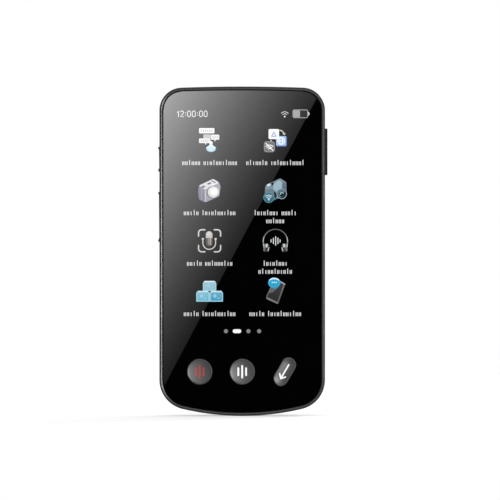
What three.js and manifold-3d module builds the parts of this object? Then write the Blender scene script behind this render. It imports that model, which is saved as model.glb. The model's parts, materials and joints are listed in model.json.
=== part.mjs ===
// A handheld translator: a slab with a glass front, three keys under the screen, side keys,
// a card tray, a rear camera island and a speaker behind a drilled grille.
// Millimetres, +Z up along the body, the screen faces -Y and the back faces +Y.
// The origin is the centre of the flat back. A depth is measured from the glass face backwards.
import * as THREE from "three";
import { mergeVertices } from "three/addons/utils/BufferGeometryUtils.js";
import Module from "manifold-3d";

// Driving dimensions
const body = {
  width: 74.4,
  length: 148,
  depth: 13.5,
  topArcRadius: 750,
  bottomArcRadius: 117,
  topCornerRadius: 10.2,
  bottomCornerRadius: 13.4,
  leastCornerRadius: 0.4,
};
const cover = {
  frontDepth: 4.3, // where the rear cover starts, behind the seam
  sideDepth: 7.5, // where its straight side ends and the rear edge begins
  edgeWidth: 8.5, // how far the rear edge reaches in over the back
  wall: 1.3,
  ribHeight: 1.4,
  ribWidth: 0.9,
  ribPitch: 14,
};
const frame = {
  rimDepth: 0.15, // how far the rim lies behind the glass face
  rimWidth: 1.3,
  rimRoundWidth: 0.75,
  rimRoundDepth: 1.0,
  rimChamfer: 0.3,
  backDepth: 4.0,
  ledgeThickness: 0.9,
  wall: 2.5,
  lipWall: 0.9,
  lipHeight: 0.9,
  bossRadius: 1.4,
  topBossAcross: 22,
  topBossBelow: 4.7,
  bottomBossAcross: 30.5,
  bottomBossAbove: 12,
};
const clip = { length: 6, reach: 0.7, height: 0.5, room: 0.3 };
const clipHeights = { right: [20, -6, -34], left: [-6, -34] }; // from the middle of the body, upwards
const glass = { thickness: 0.8, edgeBevel: 0.25, fit: 0.2 };
const screen = {
  sideBorder: 4.7, // from the body's side to the panel
  topBorder: 6.6,
  bottomBorder: 28,
  cornerRadius: 1.5,
  panelThickness: 1.0,
  backlightThickness: 0.9,
  backlightBorder: 0.8,
  fit: 0.3,
};
const chassis = {
  thickness: 0.6,
  standoffRadius: 1.8,
  ribWidth: 1.6,
  ribHeight: 0.35,
  ribPitch: 12,
};
const frontKey = {
  above: 19.9, // from the bottom of the body up to the row of keys
  pitch: 19.1,
  diameter: 11.2,
  pillLength: 13.4,
  pillWidth: 6.5,
  pillTilt: 30, // degrees off the vertical
  pillFloorShare: 0.33, // how far in the dish of the pill reaches its floor
  proud: 0.25,
  dish: 0.22,
  rimWidth: 0.55,
  rimRound: 0.15,
  fit: 0.25,
  flangeWidth: 0.5,
  flangeThickness: 0.35,
  plungerRadius: 1.1,
  travel: 0.35,
};
const keyPad = { thickness: 0.3, fit: 0.4, border: 2.2, cornerRadius: 2 };
const dome = { radius: 2.5, height: 0.25 };
const keyBoard = { thickness: 0.25, border: 0.5 };
const port = { depth: 6.8 }; // the line that the ports and side keys share
const usb = {
  width: 8.94,
  height: 3.2,
  length: 7.3,
  wall: 0.3,
  inset: 0.4,
  across: 0.7,
  tongueWidth: 6.6,
  tongueThickness: 0.7,
  tongueInset: 1.0,
  fit: 0.2,
  notchBorder: 0.7,
};
const jack = {
  across: 17.1,
  bore: 3.6,
  boreLength: 11,
  noseRadius: 2.15,
  width: 6.4,
  thickness: 5,
  length: 11.6,
  inset: 3.2, // from the body's top to the casing
  noseInset: 0.35,
  fit: 0.2,
  notchBorder: 0.5,
};
const microphone = {
  fromSlot: 0.45,
  holeRadius: 0.4,
  width: 2.8,
  length: 2,
  thickness: 1,
  bootWidth: 3.4,
  bootThickness: 2,
  bootLength: 2.2,
};
const sideKey = {
  width: 2.6,
  proud: 0.7,
  dish: 0.5,
  endRound: 0.45,
  endRise: 1.3, // along the key, from its raised end down into the dish
  fit: 0.2,
  flangeGap: 0.5,
  flangeBorder: 0.8,
  flangeSide: 0.3,
  flangeThickness: 0.7,
  plungerRadius: 0.8,
  plungerLength: 0.7,
  switchGap: 0.4,
};
const powerKey = { below: 32.5, length: 11.2 };
const volumeKey = { below: 58.5, length: 22.5, plungerAcross: 7 };
const tact = { length: 3, width: 2.4, height: 1.4, actuatorRadius: 0.7, actuatorHeight: 0.4 };
const sideBoard = { thickness: 0.3, width: 3.6, border: 2 };
const bracket = { thickness: 0.5, foot: 2.6 };
const tray = {
  below: 29.2,
  depth: 7.05,
  plateLength: 21,
  plateWidth: 3.4,
  plateThickness: 1.1,
  proud: 1.2,
  sealThickness: 0.6,
  sealBorder: 0.75,
  sealFit: 0.2,
  bladeWidth: 14.4,
  bladeShift: 2,
  bladeLength: 22,
  bladeThickness: 1.3,
  tongueWidth: 8,
  railWidth: 1.1,
  cardFloor: 0.45,
  cardDivider: 1.2,
  pinRadius: 0.5,
  pinBelow: 8,
};
const socket = {
  sheet: 0.25,
  room: 0.3,
  sideRoom: 0.35,
  pinRadius: 0.5,
  frontGap: 1.2,
  windowShare: 0.25,
};
const eject = {
  rodRadius: 0.4,
  rodTravel: 1.2,
  leverWidth: 1.3,
  leverThickness: 0.6,
  leverGap: 1.5, // from the lever to the blade
  fit: 0.2,
  armShare: 0.72,
};
const board = {
  thickness: 1.0,
  edge: 3.2,
  sideRoom: 6.9, // kept free for the side keys
  rise: 1.15, // from the chassis to the board
  length: 46.5,
  screwInset: 4.6,
};
const shield = { height: 1.8, wall: 0.4, cornerRadius: 0.8 };
const processorShield = { across: -17.2, below: 30.5, width: 19, length: 30 };
const radioShield = { across: 17, below: 44.8, width: 20, length: 6.4 };
const island = {
  below: 27.7,
  length: 31.8,
  width: 11.7,
  fit: 0.15,
  proud: 0.3,
  rim: 0.5,
  floorThickness: 1.0,
  windowThickness: 0.75,
  windowRecess: 0.25,
  windowFit: 0.1,
  windowBevel: 0.15,
  grooveWidth: 0.25, // of the circles round the lenses and the flash
  grooveDepth: 0.12,
  flangeWidth: 0.9,
  flangeThickness: 0.5,
  lensPitch: 20.2,
};
const camera = {
  baseWidth: 8.4,
  baseHeight: 3.2,
  barrelRadius: 3.1,
  tipRadius: 2.5,
  tipHeight: 0.8,
  fit: 0.3,
};
const flash = { ledWidth: 2.6, ledHeight: 0.9, guideRadius: 1.5, footRadius: 2.1, footHeight: 0.8 };
const grille = {
  above: 13.8,
  pitch: 2.8,
  rowPitch: 2.8,
  holeRadius: 0.78,
  bend: 0.8,
  counts: [10, 11, 12],
};
const speaker = {
  width: 27,
  length: 14.6,
  cornerRadius: 3,
  basketThickness: 4.4,
  coneInset: 2,
  coneDepth: 0.9,
  gasketThickness: 0.45,
  gasketWidth: 1.6,
  meshThickness: 0.2,
  meshWidth: 34,
  meshLength: 9.6,
  meshRadius: 2,
  cradleWall: 1.2,
  earRadius: 2.2,
  earThickness: 1.2,
};
const battery = {
  side: 28, // from the body's middle line to its edge
  topBelow: 54.6,
  bottomAbove: 27.5,
  rearRoom: 2.2,
  edgeRound: 1.1,
  edgeStepShare: 0.33, // where the rounded edge has its middle ring
  cornerRadius: 3,
  stripLength: 4.2,
  stripThickness: 1.6,
};
const screw = {
  headRadius: 1.15,
  headHeight: 0.5,
  shankRadius: 0.6,
  slotWidth: 0.3,
  slotDepth: 0.25,
  hole: 0.8,
};
const ribbon = {
  thickness: 0.12,
  lift: 0.06,
  bend: 0.35,
  displayWidth: 11,
  displayAcross: -12,
  displayReach: 6, // how far the display ribbon runs under the board
  boardWidth: 8,
  boardAcross: 20,
};
const batteryLead = { width: 5, across: -17, drop: 1.5 };
const slotRoom = 1.2; // round a ribbon where it passes the chassis
const seatGap = 0.05; // between faces that lie on each other
const bondGap = 0.2; // filled by adhesive
const overrun = 1; // how far a cutter runs past a face
const fine = 0.3; // between a piece and the wall that locates it
const mergeTolerance = 0.001;

// Facet counts
const bodyCornerFacets = 9;
const bodyArcFacets = 8;
const edgeFacets = 8; // over a rear edge; a rim's round has half as many
const roundFacets = 20;
const smallFacets = 8;
const grilleFacets = 12;
const stadiumFacets = 10;
const cornerFacets = 3;
const bendFacets = 3;
const dishFacets = 5;
const domeFacets = 3;

// Places that follow from the sizes above
const degree = Math.PI / 180;
const halfWidth = body.width / 2;
const halfLength = body.length / 2;
const ledgeDepth = glass.thickness + bondGap;
const panelDepth = ledgeDepth;
const backlightDepth = panelDepth + screen.panelThickness + bondGap;
const chassisDepth = frame.backDepth - chassis.thickness;
const boardDepth = frame.backDepth + board.rise;
const boardBack = boardDepth + board.thickness;
const innerBack = body.depth - cover.wall;
const keyRow = -halfLength + frontKey.above;
const keyColumns = [-frontKey.pitch, 0, frontKey.pitch];
const islandHeight = halfLength - island.below;
const trayHeight = halfLength - tray.below;
const bladeHeight = trayHeight + tray.bladeShift;
const speakerHeight = -halfLength + grille.above;
const panelTop = halfLength - screen.topBorder;
const panelBottom = -halfLength + screen.bottomBorder;
const batteryTop = halfLength - battery.topBelow;
const batteryBottom = -halfLength + battery.bottomAbove;
const batteryMiddle = (batteryTop + batteryBottom) / 2;
const meshDepth = innerBack - seatGap - speaker.meshThickness;
const gasketDepth = meshDepth - seatGap - speaker.gasketThickness;
const basketDepth = gasketDepth - seatGap - speaker.basketThickness;

const wasm = await Module();
wasm.setup();

const yAt = (depth) => depth - body.depth;

// A solid from a closed geometry, with the vertices that share a place merged.
function solidOf(geometry) {
  const bare = geometry.index ? geometry.toNonIndexed() : geometry.clone();
  bare.deleteAttribute("normal");
  bare.deleteAttribute("uv");
  const merged = mergeVertices(bare, mergeTolerance);
  const corners = merged.index.array;
  const kept = [];
  for (let i = 0; i < corners.length; i += 3) {
    const [a, b, c] = [corners[i], corners[i + 1], corners[i + 2]];
    if (a !== b && b !== c && c !== a) kept.push(a, b, c);
  }
  return new wasm.Manifold(
    new wasm.Mesh({
      numProp: 3,
      vertProperties: merged.attributes.position.array,
      triVerts: new Uint32Array(kept),
    }),
  );
}

function geometryOf(solid) {
  const mesh = solid.getMesh();
  const geometry = new THREE.BufferGeometry();
  geometry.setAttribute("position", new THREE.BufferAttribute(mesh.vertProperties, 3));
  geometry.setIndex(new THREE.BufferAttribute(mesh.triVerts, 1));
  geometry.computeVertexNormals();
  return geometry;
}

function join(first, ...others) {
  return geometryOf(others.reduce((whole, other) => whole.add(solidOf(other)), solidOf(first)));
}

function cut(base, ...tools) {
  return geometryOf(tools.reduce((whole, tool) => whole.subtract(solidOf(tool)), solidOf(base)));
}

function common(first, second) {
  return geometryOf(solidOf(first).intersect(solidOf(second)));
}

// The body's outline drawn in by inset, as one ring of points at a depth, anticlockwise from the front.
function bodyRing(inset, depth) {
  const half = halfWidth - inset;
  const ring = [];
  const arc = (x, z, radius, start, end, count, withLast) => {
    for (let i = 0; i < count + (withLast ? 1 : 0); i++) {
      const angle = start + ((end - start) * i) / count;
      ring.push(new THREE.Vector3(x + radius * Math.cos(angle), yAt(depth), z + radius * Math.sin(angle)));
    }
  };
  const corner = (arcRadius, cornerRadius) => {
    const radius = Math.max(cornerRadius - inset, body.leastCornerRadius);
    const reach = arcRadius - inset - radius;
    const across = half - radius;
    const along = Math.sqrt(reach * reach - across * across);
    return { radius, across, along, turn: Math.asin(across / reach) };
  };
  const top = corner(body.topArcRadius, body.topCornerRadius);
  const bottom = corner(body.bottomArcRadius, body.bottomCornerRadius);
  const topCentre = halfLength - body.topArcRadius;
  const bottomCentre = -halfLength + body.bottomArcRadius;
  const quarter = Math.PI / 2;
  arc(
    0,
    bottomCentre,
    body.bottomArcRadius - inset,
    -quarter - bottom.turn,
    -quarter + bottom.turn,
    bodyArcFacets,
  );
  const bottomZ = bottomCentre - bottom.along;
  const topZ = topCentre + top.along;
  arc(bottom.across, bottomZ, bottom.radius, -quarter + bottom.turn, 0, bodyCornerFacets, true);
  arc(top.across, topZ, top.radius, 0, quarter - top.turn, bodyCornerFacets);
  arc(0, topCentre, body.topArcRadius - inset, quarter - top.turn, quarter + top.turn, bodyArcFacets);
  arc(-top.across, topZ, top.radius, quarter + top.turn, Math.PI, bodyCornerFacets, true);
  arc(-bottom.across, bottomZ, bottom.radius, Math.PI, 3 * quarter - bottom.turn, bodyCornerFacets);
  return ring;
}

// The height of the body's top edge at a place across.
function topEdge(x) {
  return halfLength - body.topArcRadius + Math.sqrt(body.topArcRadius ** 2 - x * x);
}

// A closed skin over rings of equal length, listed from the back to the front.
// A loop joins the last ring to the first.
function skin(rings, loop = false) {
  const size = rings[0].length;
  const corners = [];
  const spans = loop ? rings.length : rings.length - 1;
  for (let i = 0; i < spans; i++) {
    const back = i * size;
    const front = ((i + 1) % rings.length) * size;
    for (let j = 0; j < size; j++) {
      const next = (j + 1) % size;
      corners.push(back + j, back + next, front + j, back + next, front + next, front + j);
    }
  }
  if (!loop) {
    const flat = rings[0].map((p) => new THREE.Vector2(p.x, p.z));
    const last = (rings.length - 1) * size;
    const lastFlat = rings.at(-1).map((p) => new THREE.Vector2(p.x, p.z));
    for (const [a, b, c] of THREE.ShapeUtils.triangulateShape(flat, [])) corners.push(a, c, b);
    for (const [a, b, c] of THREE.ShapeUtils.triangulateShape(lastFlat, [])) {
      corners.push(last + a, last + b, last + c);
    }
  }
  const geometry = new THREE.BufferGeometry().setFromPoints(rings.flat());
  geometry.setIndex(corners);
  return geometry;
}

// A flat plate with the body's outline.
function bodyPlate(inset, depth, thickness) {
  return skin([bodyRing(inset, depth + thickness), bodyRing(inset, depth)]);
}

function arcPoints(x, y, radius, start, end, facets) {
  return Array.from({ length: facets + 1 }, (_, i) => {
    const angle = start + ((end - start) * i) / facets;
    return new THREE.Vector2(x + radius * Math.cos(angle), y + radius * Math.sin(angle));
  });
}

// Outlines as anticlockwise points round their own middle.
function rectangle(width, height, radius, facets = cornerFacets) {
  const [w, h] = [width / 2 - radius, height / 2 - radius];
  const quarter = Math.PI / 2;
  const corners = [
    [w, h],
    [-w, h],
    [-w, -h],
    [w, -h],
  ];
  return corners.flatMap(([x, y], i) => arcPoints(x, y, radius, i * quarter, (i + 1) * quarter, facets));
}

// A slot with round ends, its long way along the outline's y.
function stadium(length, width, facets = stadiumFacets) {
  const radius = width / 2;
  const reach = length / 2 - radius;
  return [
    ...arcPoints(0, reach, radius, 0, Math.PI, facets),
    ...arcPoints(0, -reach, radius, Math.PI, 2 * Math.PI, facets),
  ];
}

function disc(radius, facets = roundFacets) {
  return arcPoints(0, 0, radius, 0, 2 * Math.PI, facets).slice(0, -1);
}

function extruded(outline, length) {
  return new THREE.ExtrudeGeometry(new THREE.Shape(outline), { depth: length, bevelEnabled: false });
}

// A plate is drawn in X and Z and made thick in depth.
// A bar along X is drawn in Y and Z, and one along Z in X and Y.
function plate(outline, x, z, depth, thickness) {
  return extruded(outline, thickness).rotateX(Math.PI / 2).translate(x, yAt(depth + thickness), z);
}

function barX(outline, x, depth, z, length) {
  return extruded(outline, length).rotateZ(Math.PI / 2).rotateY(Math.PI / 2).translate(x, yAt(depth), z);
}

function barZ(outline, x, depth, z, length) {
  return extruded(outline, length).translate(x, yAt(depth), z);
}

function block(x, z, depth, width, height, thickness) {
  return new THREE.BoxGeometry(width, thickness, height).translate(x, yAt(depth) + thickness / 2, z);
}

function rod(x, z, depth, radius, thickness, facets = roundFacets) {
  return plate(disc(radius, facets), x, z, depth, thickness);
}

// A strip of even thickness along straight runs with rounded bends, its points given as height and depth.
function strip(points, width, x) {
  const at = points.map(([z, depth]) => new THREE.Vector2(z, yAt(depth)));
  const towards = (from, to) => from.clone().add(to.clone().sub(from).setLength(ribbon.bend));
  const runs = [];
  let last = at[0];
  for (let i = 1; i < at.length - 1; i++) {
    const before = towards(at[i], at[i - 1]);
    const after = towards(at[i], at[i + 1]);
    runs.push(new THREE.LineCurve(last, before), new THREE.QuadraticBezierCurve(before, at[i], after));
    last = after;
  }
  runs.push(new THREE.LineCurve(last, at.at(-1)));
  const sides = [[], []];
  const sample = (run, share) => {
    const point = run.getPoint(share);
    const along = run.getTangent(share);
    for (const side of [0, 1]) {
      const shift = side ? ribbon.thickness / 2 : -ribbon.thickness / 2;
      sides[side].push(new THREE.Vector2(point.x + along.y * shift, point.y - along.x * shift));
    }
  };
  sample(runs[0], 0);
  for (const run of runs) {
    const steps = run.isLineCurve ? 1 : bendFacets;
    for (let i = 1; i <= steps; i++) sample(run, i / steps);
  }
  const ribbonOutline = [...sides[0], ...sides[1].reverse()];
  return extruded(ribbonOutline, width).rotateY(-Math.PI / 2).translate(x + width / 2, 0, 0);
}

function piece(name, geometry, colour, roughness, metalness) {
  const material = new THREE.MeshStandardMaterial({ color: colour, roughness, metalness });
  const mesh = new THREE.Mesh(geometry, material);
  mesh.name = name;
  return mesh;
}

function placed(mesh, x, depth, z, turn = 0) {
  mesh.position.set(x, yAt(depth), z);
  mesh.rotation.y = turn;
  return mesh;
}

function group(...members) {
  return new THREE.Group().add(...members.flat());
}

// Rings of a shell with a straight side and an elliptical rear edge, from the flat back to the open front.
function shellRings(sideInset, edgeWidth, backDepth, frontDepth) {
  const rings = [];
  for (let i = edgeFacets; i >= 0; i--) {
    const angle = ((Math.PI / 2) * i) / edgeFacets;
    const depth = cover.sideDepth + (backDepth - cover.sideDepth) * Math.sin(angle);
    rings.push(bodyRing(sideInset + edgeWidth * (1 - Math.cos(angle)), depth));
  }
  rings.push(bodyRing(sideInset, frontDepth));
  return rings;
}

// Front frame: rim, glass ledge, key wells, locating lip and screw bosses in one moulding.
function frameRim() {
  const round = [];
  for (let i = 0; i <= edgeFacets / 2; i++) {
    const angle = (Math.PI * i) / edgeFacets;
    const inset = frame.rimRoundWidth * (1 - Math.cos(angle));
    round.push([inset, frame.rimDepth + frame.rimRoundDepth * (1 - Math.sin(angle))]);
  }
  const lipOuter = frame.wall - frame.lipWall;
  const profile = [
    [lipOuter, frame.backDepth],
    [0, frame.backDepth],
    ...round,
    [frame.rimWidth - frame.rimChamfer, frame.rimDepth],
    [frame.rimWidth, frame.rimDepth + frame.rimChamfer],
    [frame.rimWidth, ledgeDepth + frame.ledgeThickness / 2],
    [frame.wall, ledgeDepth + frame.ledgeThickness / 2],
    [frame.wall, frame.backDepth + frame.lipHeight],
    [lipOuter, frame.backDepth + frame.lipHeight],
  ];
  return skin(
    profile.map(([inset, depth]) => bodyRing(inset, depth)),
    true,
  );
}

function frameBosses() {
  const top = halfLength - frame.topBossBelow;
  const bottom = -halfLength + frame.bottomBossAbove;
  return [
    [-frame.topBossAcross, top],
    [frame.topBossAcross, top],
    [-frame.bottomBossAcross, bottom],
    [frame.bottomBossAcross, bottom],
  ];
}

const flangeFit = frontKey.fit + frontKey.flangeWidth;

function keyShape(index, border) {
  const pill = index === keyColumns.length - 1;
  return pill
    ? stadium(frontKey.pillLength + 2 * border, frontKey.pillWidth + 2 * border)
    : disc(frontKey.diameter / 2 + border);
}

const keyTurn = (index) => (index === keyColumns.length - 1 ? frontKey.pillTilt * degree : 0);

// A cutter through the front for one key, wider than the key by border.
function keyWell(index, border, depth, thickness) {
  const well = plate(keyShape(index, border), 0, 0, depth, thickness);
  return well.translate(0, -yAt(depth), 0).rotateY(keyTurn(index)).translate(
    keyColumns[index],
    yAt(depth),
    keyRow,
  );
}

function screenOpening() {
  const width = body.width - 2 * screen.sideBorder + 2 * screen.fit;
  const height = panelTop - panelBottom + 2 * screen.fit;
  const middle = (panelTop + panelBottom) / 2;
  const thickness = frame.ledgeThickness + 2 * overrun;
  return plate(
    rectangle(width, height, screen.cornerRadius + screen.fit),
    0,
    middle,
    ledgeDepth - overrun,
    thickness,
  );
}

function clipPlaces() {
  const sides = [
    [1, clipHeights.right],
    [-1, clipHeights.left],
  ];
  return sides.flatMap(([side, heights]) => heights.map((height) => [side, height]));
}

function frontFrame() {
  const ledge = bodyPlate(frame.rimWidth / 2, ledgeDepth, frame.ledgeThickness);
  const bossTop = ledgeDepth + frame.ledgeThickness / 2;
  const bosses = frameBosses().map(
    ([x, z]) => rod(x, z, bossTop, frame.bossRadius, chassisDepth - seatGap - bossTop),
  );
  const pilots = frameBosses().map(([x, z]) => {
    const depth = ledgeDepth + frame.ledgeThickness;
    return rod(x, z, depth, screw.shankRadius + seatGap, chassisDepth - depth + overrun, smallFacets);
  });
  const wells = keyColumns.map(
    (_, i) => keyWell(i, flangeFit, ledgeDepth - overrun, frame.ledgeThickness + 2 * overrun),
  );
  const windows = clipPlaces().map(([side, height]) => {
    const width = frame.wall + overrun;
    const depth = frame.backDepth + seatGap;
    return block(
      side * (halfWidth - frame.wall / 2),
      height,
      depth,
      width,
      clip.length + 2 * clip.room,
      frame.lipHeight,
    );
  });
  const jackStart = halfLength - frame.wall - overrun;
  const jackWindow = barZ(
    disc(jack.noseRadius + jack.fit),
    jack.across,
    port.depth,
    jackStart,
    frame.wall + 2 * overrun,
  );
  const solidFrame = join(frameRim(), ledge, ...bosses);
  const cutters = [screenOpening(), ...wells, ...pilots, ...windows, jackWindow];
  return piece("front_frame", cut(solidFrame, ...cutters), 0x3a3b3d, 0.45, 0.1);
}

function coverGlass() {
  const inset = frame.rimWidth + glass.fit;
  const bevelled = skin([
    bodyRing(inset, glass.thickness),
    bodyRing(inset, glass.edgeBevel),
    bodyRing(inset + glass.edgeBevel, 0),
  ]);
  const holes = keyColumns.map((_, i) => keyWell(i, frontKey.fit, -overrun, glass.thickness + 2 * overrun));
  return piece("cover_glass", cut(bevelled, ...holes), 0x050506, 0.05, 0);
}

function displayModule() {
  const width = body.width - 2 * screen.sideBorder;
  const height = panelTop - panelBottom;
  const middle = (panelTop + panelBottom) / 2;
  const panel = plate(
    rectangle(width, height, screen.cornerRadius),
    0,
    middle,
    panelDepth,
    screen.panelThickness,
  );
  const border = 2 * screen.backlightBorder;
  const lightShape = rectangle(width - border, height - border, screen.cornerRadius);
  const light = plate(lightShape, 0, middle, backlightDepth, screen.backlightThickness);
  const start = panelTop - screen.backlightBorder + bondGap;
  const edge = panelDepth + screen.panelThickness + ribbon.thickness / 2 + ribbon.lift;
  const behind = frame.backDepth + ribbon.thickness + ribbon.lift;
  const bend = panelTop + screen.fit + ribbon.thickness + ribbon.lift;
  const route = [
    [start, edge],
    [bend, edge],
    [bend, behind],
    [bend - ribbon.displayReach, behind],
  ];
  return group(
    piece("display_panel", panel, 0x0a0b0d, 0.2, 0),
    piece("backlight_unit", light, 0xcfd3d6, 0.35, 0.6),
    piece("display_flex", strip(route, ribbon.displayWidth, ribbon.displayAcross), 0x8a5a1c, 0.5, 0.1),
  );
}

// Chassis: the stamped plate that carries the boards, with its riveted standoffs and pressed ribs.
function boardScrewPlaces() {
  const [left, right] = [-halfWidth + board.sideRoom, halfWidth - board.edge];
  const [top, bottom] = [halfLength - board.edge, halfLength - board.edge - board.length];
  const inset = board.screwInset;
  return [
    [left + inset, top - inset],
    [right - inset, top - inset],
    [left + inset, bottom + inset / 2],
    [right - inset, bottom + inset / 2],
  ];
}

function cradleScrewPlaces() {
  const across = speaker.width / 2 + speaker.cradleWall + fine + speaker.earRadius;
  return [
    [-across, speakerHeight],
    [across, speakerHeight],
  ];
}

function chassisPlate() {
  const sheet = bodyPlate(frame.wall + bondGap, chassisDepth, chassis.thickness);
  const standoffs = boardScrewPlaces().map(([x, z]) => {
    const depth = chassisDepth + chassis.thickness / 2;
    return rod(x, z, depth, chassis.standoffRadius, boardDepth - seatGap - depth);
  });
  const ribHalf = ribbon.boardAcross - ribbon.boardWidth / 2 - chassis.ribWidth / 2;
  const ribs = [-1, 0, 1].map((step) => {
    const depth = frame.backDepth - chassis.thickness / 2;
    const rib = plate(
      stadium(2 * ribHalf, chassis.ribWidth),
      0,
      0,
      depth,
      chassis.thickness / 2 + chassis.ribHeight,
    );
    return rib.rotateY(Math.PI / 2).translate(0, 0, batteryMiddle + step * chassis.ribPitch);
  });
  const holes = [...boardScrewPlaces(), ...cradleScrewPlaces(), ...frameBosses()].map(([x, z], i) => {
    const pilot = i < boardScrewPlaces().length + cradleScrewPlaces().length;
    const radius = pilot ? screw.shankRadius + seatGap : screw.hole;
    return rod(x, z, chassisDepth - overrun, radius, boardDepth - chassisDepth + 2 * overrun, smallFacets);
  });
  const screenSlot = block(
    ribbon.displayAcross,
    panelTop + slotRoom,
    chassisDepth - overrun,
    ribbon.displayWidth + 2 * slotRoom,
    2 * slotRoom,
    chassis.thickness + 2 * overrun,
  );
  const boardSlot = block(
    ribbon.boardAcross,
    boardSlotMiddle,
    chassisDepth - overrun,
    ribbon.boardWidth + 2 * slotRoom,
    2 * slotRoom,
    chassis.thickness + 2 * overrun,
  );
  const plain = join(sheet, ...standoffs, ...ribs);
  return piece("chassis_plate", cut(plain, ...holes, screenSlot, boardSlot), 0x9a9da1, 0.4, 0.9);
}

// Front keys: a dished cap with a retaining flange and a plunger, each over its own dome.
const keyBoardDepth = chassisDepth - seatGap - keyBoard.thickness;
const domeTop = keyBoardDepth - seatGap - dome.height;
const capDepth = glass.thickness + bondGap;

// The pad and the board behind the keys end just under the screen, and as far below the row of keys.
const keyZoneHalf = panelBottom - 2 * screen.fit - keyRow;
const keyBoardTop = keyRow + keyZoneHalf - keyBoard.border;
const boardSlotMiddle = keyBoardTop + 2 * slotRoom;

function roundCap() {
  const radius = frontKey.diameter / 2;
  const inner = radius - frontKey.rimWidth;
  const top = capDepth + frontKey.proud;
  const flange = radius + frontKey.flangeWidth;
  const profile = [
    [0, -frontKey.flangeThickness],
    [flange, -frontKey.flangeThickness],
    [flange, 0],
    [radius, 0],
    [radius, top - frontKey.rimRound],
    [radius - frontKey.rimRound, top],
    [inner, top],
    [inner - frontKey.dish, top - frontKey.dish / 2],
    [inner / 2, top - frontKey.dish],
    [0, top - frontKey.dish],
  ];
  return new THREE.LatheGeometry(
    profile.map(([r, y]) => new THREE.Vector2(r, y)),
    roundFacets,
  ).rotateX(Math.PI);
}

// The pill cap as rings of one stadium outline drawn in step by step.
function pillCap() {
  const top = capDepth + frontKey.proud;
  const steps = [
    [-frontKey.flangeWidth, -frontKey.flangeThickness],
    [-frontKey.flangeWidth, 0],
    [0, 0],
    [0, top - frontKey.rimRound],
    [frontKey.rimRound, top],
    [frontKey.rimWidth, top],
    [frontKey.rimWidth + frontKey.dish, top - frontKey.dish / 2],
    [frontKey.pillWidth * frontKey.pillFloorShare, top - frontKey.dish],
  ];
  const rings = steps.map(([inset, height]) => {
    const points = stadium(frontKey.pillLength - 2 * inset, frontKey.pillWidth - 2 * inset);
    return points.map((p) => new THREE.Vector3(p.x, -height, p.y));
  });
  return skin(rings);
}

function keyCap(index, name, colour) {
  const pill = index === keyColumns.length - 1;
  const cap = pill ? pillCap() : roundCap();
  const start = frontKey.flangeThickness / 2;
  const length = domeTop - frontKey.travel - seatGap - capDepth - start;
  const plunger = new THREE.CylinderGeometry(
    frontKey.plungerRadius,
    frontKey.plungerRadius,
    length,
    smallFacets,
  );
  plunger.translate(0, start + length / 2, 0);
  const mesh = piece(name, join(cap, plunger), colour, 0.45, 0.2);
  return placed(mesh, keyColumns[index], capDepth, keyRow, keyTurn(index));
}

function keypad() {
  const width = keyColumns.at(-1) - keyColumns[0] + frontKey.diameter + 2 * (flangeFit + keyPad.border);
  const middle = (keyColumns.at(-1) + keyColumns[0]) / 2;
  const padDepth = ledgeDepth + frame.ledgeThickness + seatGap;
  const padSheet = plate(
    rectangle(width, 2 * keyZoneHalf, keyPad.cornerRadius),
    middle,
    keyRow,
    padDepth,
    keyPad.thickness,
  );
  const holeRadius = frontKey.plungerRadius + keyPad.fit;
  const holes = keyColumns.map((x) => {
    return rod(x, keyRow, ledgeDepth, holeRadius, frame.ledgeThickness + 2 * overrun, smallFacets);
  });
  const boardWidth = width - 2 * keyBoard.border;
  const boardHeight = 2 * (keyZoneHalf - keyBoard.border);
  const boardOutline = rectangle(boardWidth, boardHeight, keyPad.cornerRadius - keyBoard.border);
  const boardSheet = plate(boardOutline, middle, keyRow, keyBoardDepth, keyBoard.thickness);
  const domes = keyColumns.map((x, i) => {
    const profile = [];
    for (let step = 0; step <= domeFacets; step++) {
      const angle = (Math.PI / 2) * (step / domeFacets);
      profile.push(new THREE.Vector2(dome.radius * Math.cos(angle), dome.height * Math.sin(angle)));
    }
    const shell = new THREE.LatheGeometry(
      [new THREE.Vector2(0, 0), ...profile],
      smallFacets,
    ).rotateX(Math.PI);
    return placed(
      piece("key_dome_" + (i + 1), shell, 0xb9bcc0, 0.3, 1),
      x,
      keyBoardDepth - seatGap,
      keyRow,
    );
  });
  return group(
    piece("key_pad", cut(padSheet, ...holes), 0x222224, 0.8, 0),
    piece("key_board", boardSheet, 0x14502c, 0.5, 0.1),
    domes,
    keyCap(0, "talk_key_left", 0x6d6e72),
    keyCap(1, "talk_key_right", 0x6d6e72),
    keyCap(2, "back_key", 0x7a7b80),
  );
}

// Rear cover: a hollow moulding with a drilled grille, port and key openings, clips and inner ribs.
function grilleHoles() {
  const rows = grille.counts.length;
  const widest = Math.max(...grille.counts);
  return grille.counts.flatMap((count, row) =>
    Array.from({ length: count }, (_, i) => {
      const across = (i - (count - 1) / 2) * grille.pitch;
      const rise = grille.bend * (across / ((widest * grille.pitch) / 2)) ** 2;
      const height = speakerHeight + ((rows - 1) / 2 - row) * grille.rowPitch - grille.bend / 2 + rise;
      return rod(
        across,
        height,
        innerBack - overrun,
        grille.holeRadius,
        cover.wall + 2 * overrun,
        grilleFacets,
      );
    }),
  );
}

function islandShape(border) {
  return stadium(island.length + 2 * border, island.width + 2 * border);
}

function sideSlot(keyLength, below) {
  const shape = stadium(keyLength + 2 * sideKey.fit, sideKey.width + 2 * sideKey.fit);
  return barX(shape, -halfWidth - overrun, port.depth, halfLength - below, cover.wall + 2 * overrun);
}

function microphoneAcross() {
  return usb.across - usb.width / 2 - usb.fit - microphone.fromSlot - microphone.holeRadius;
}

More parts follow.
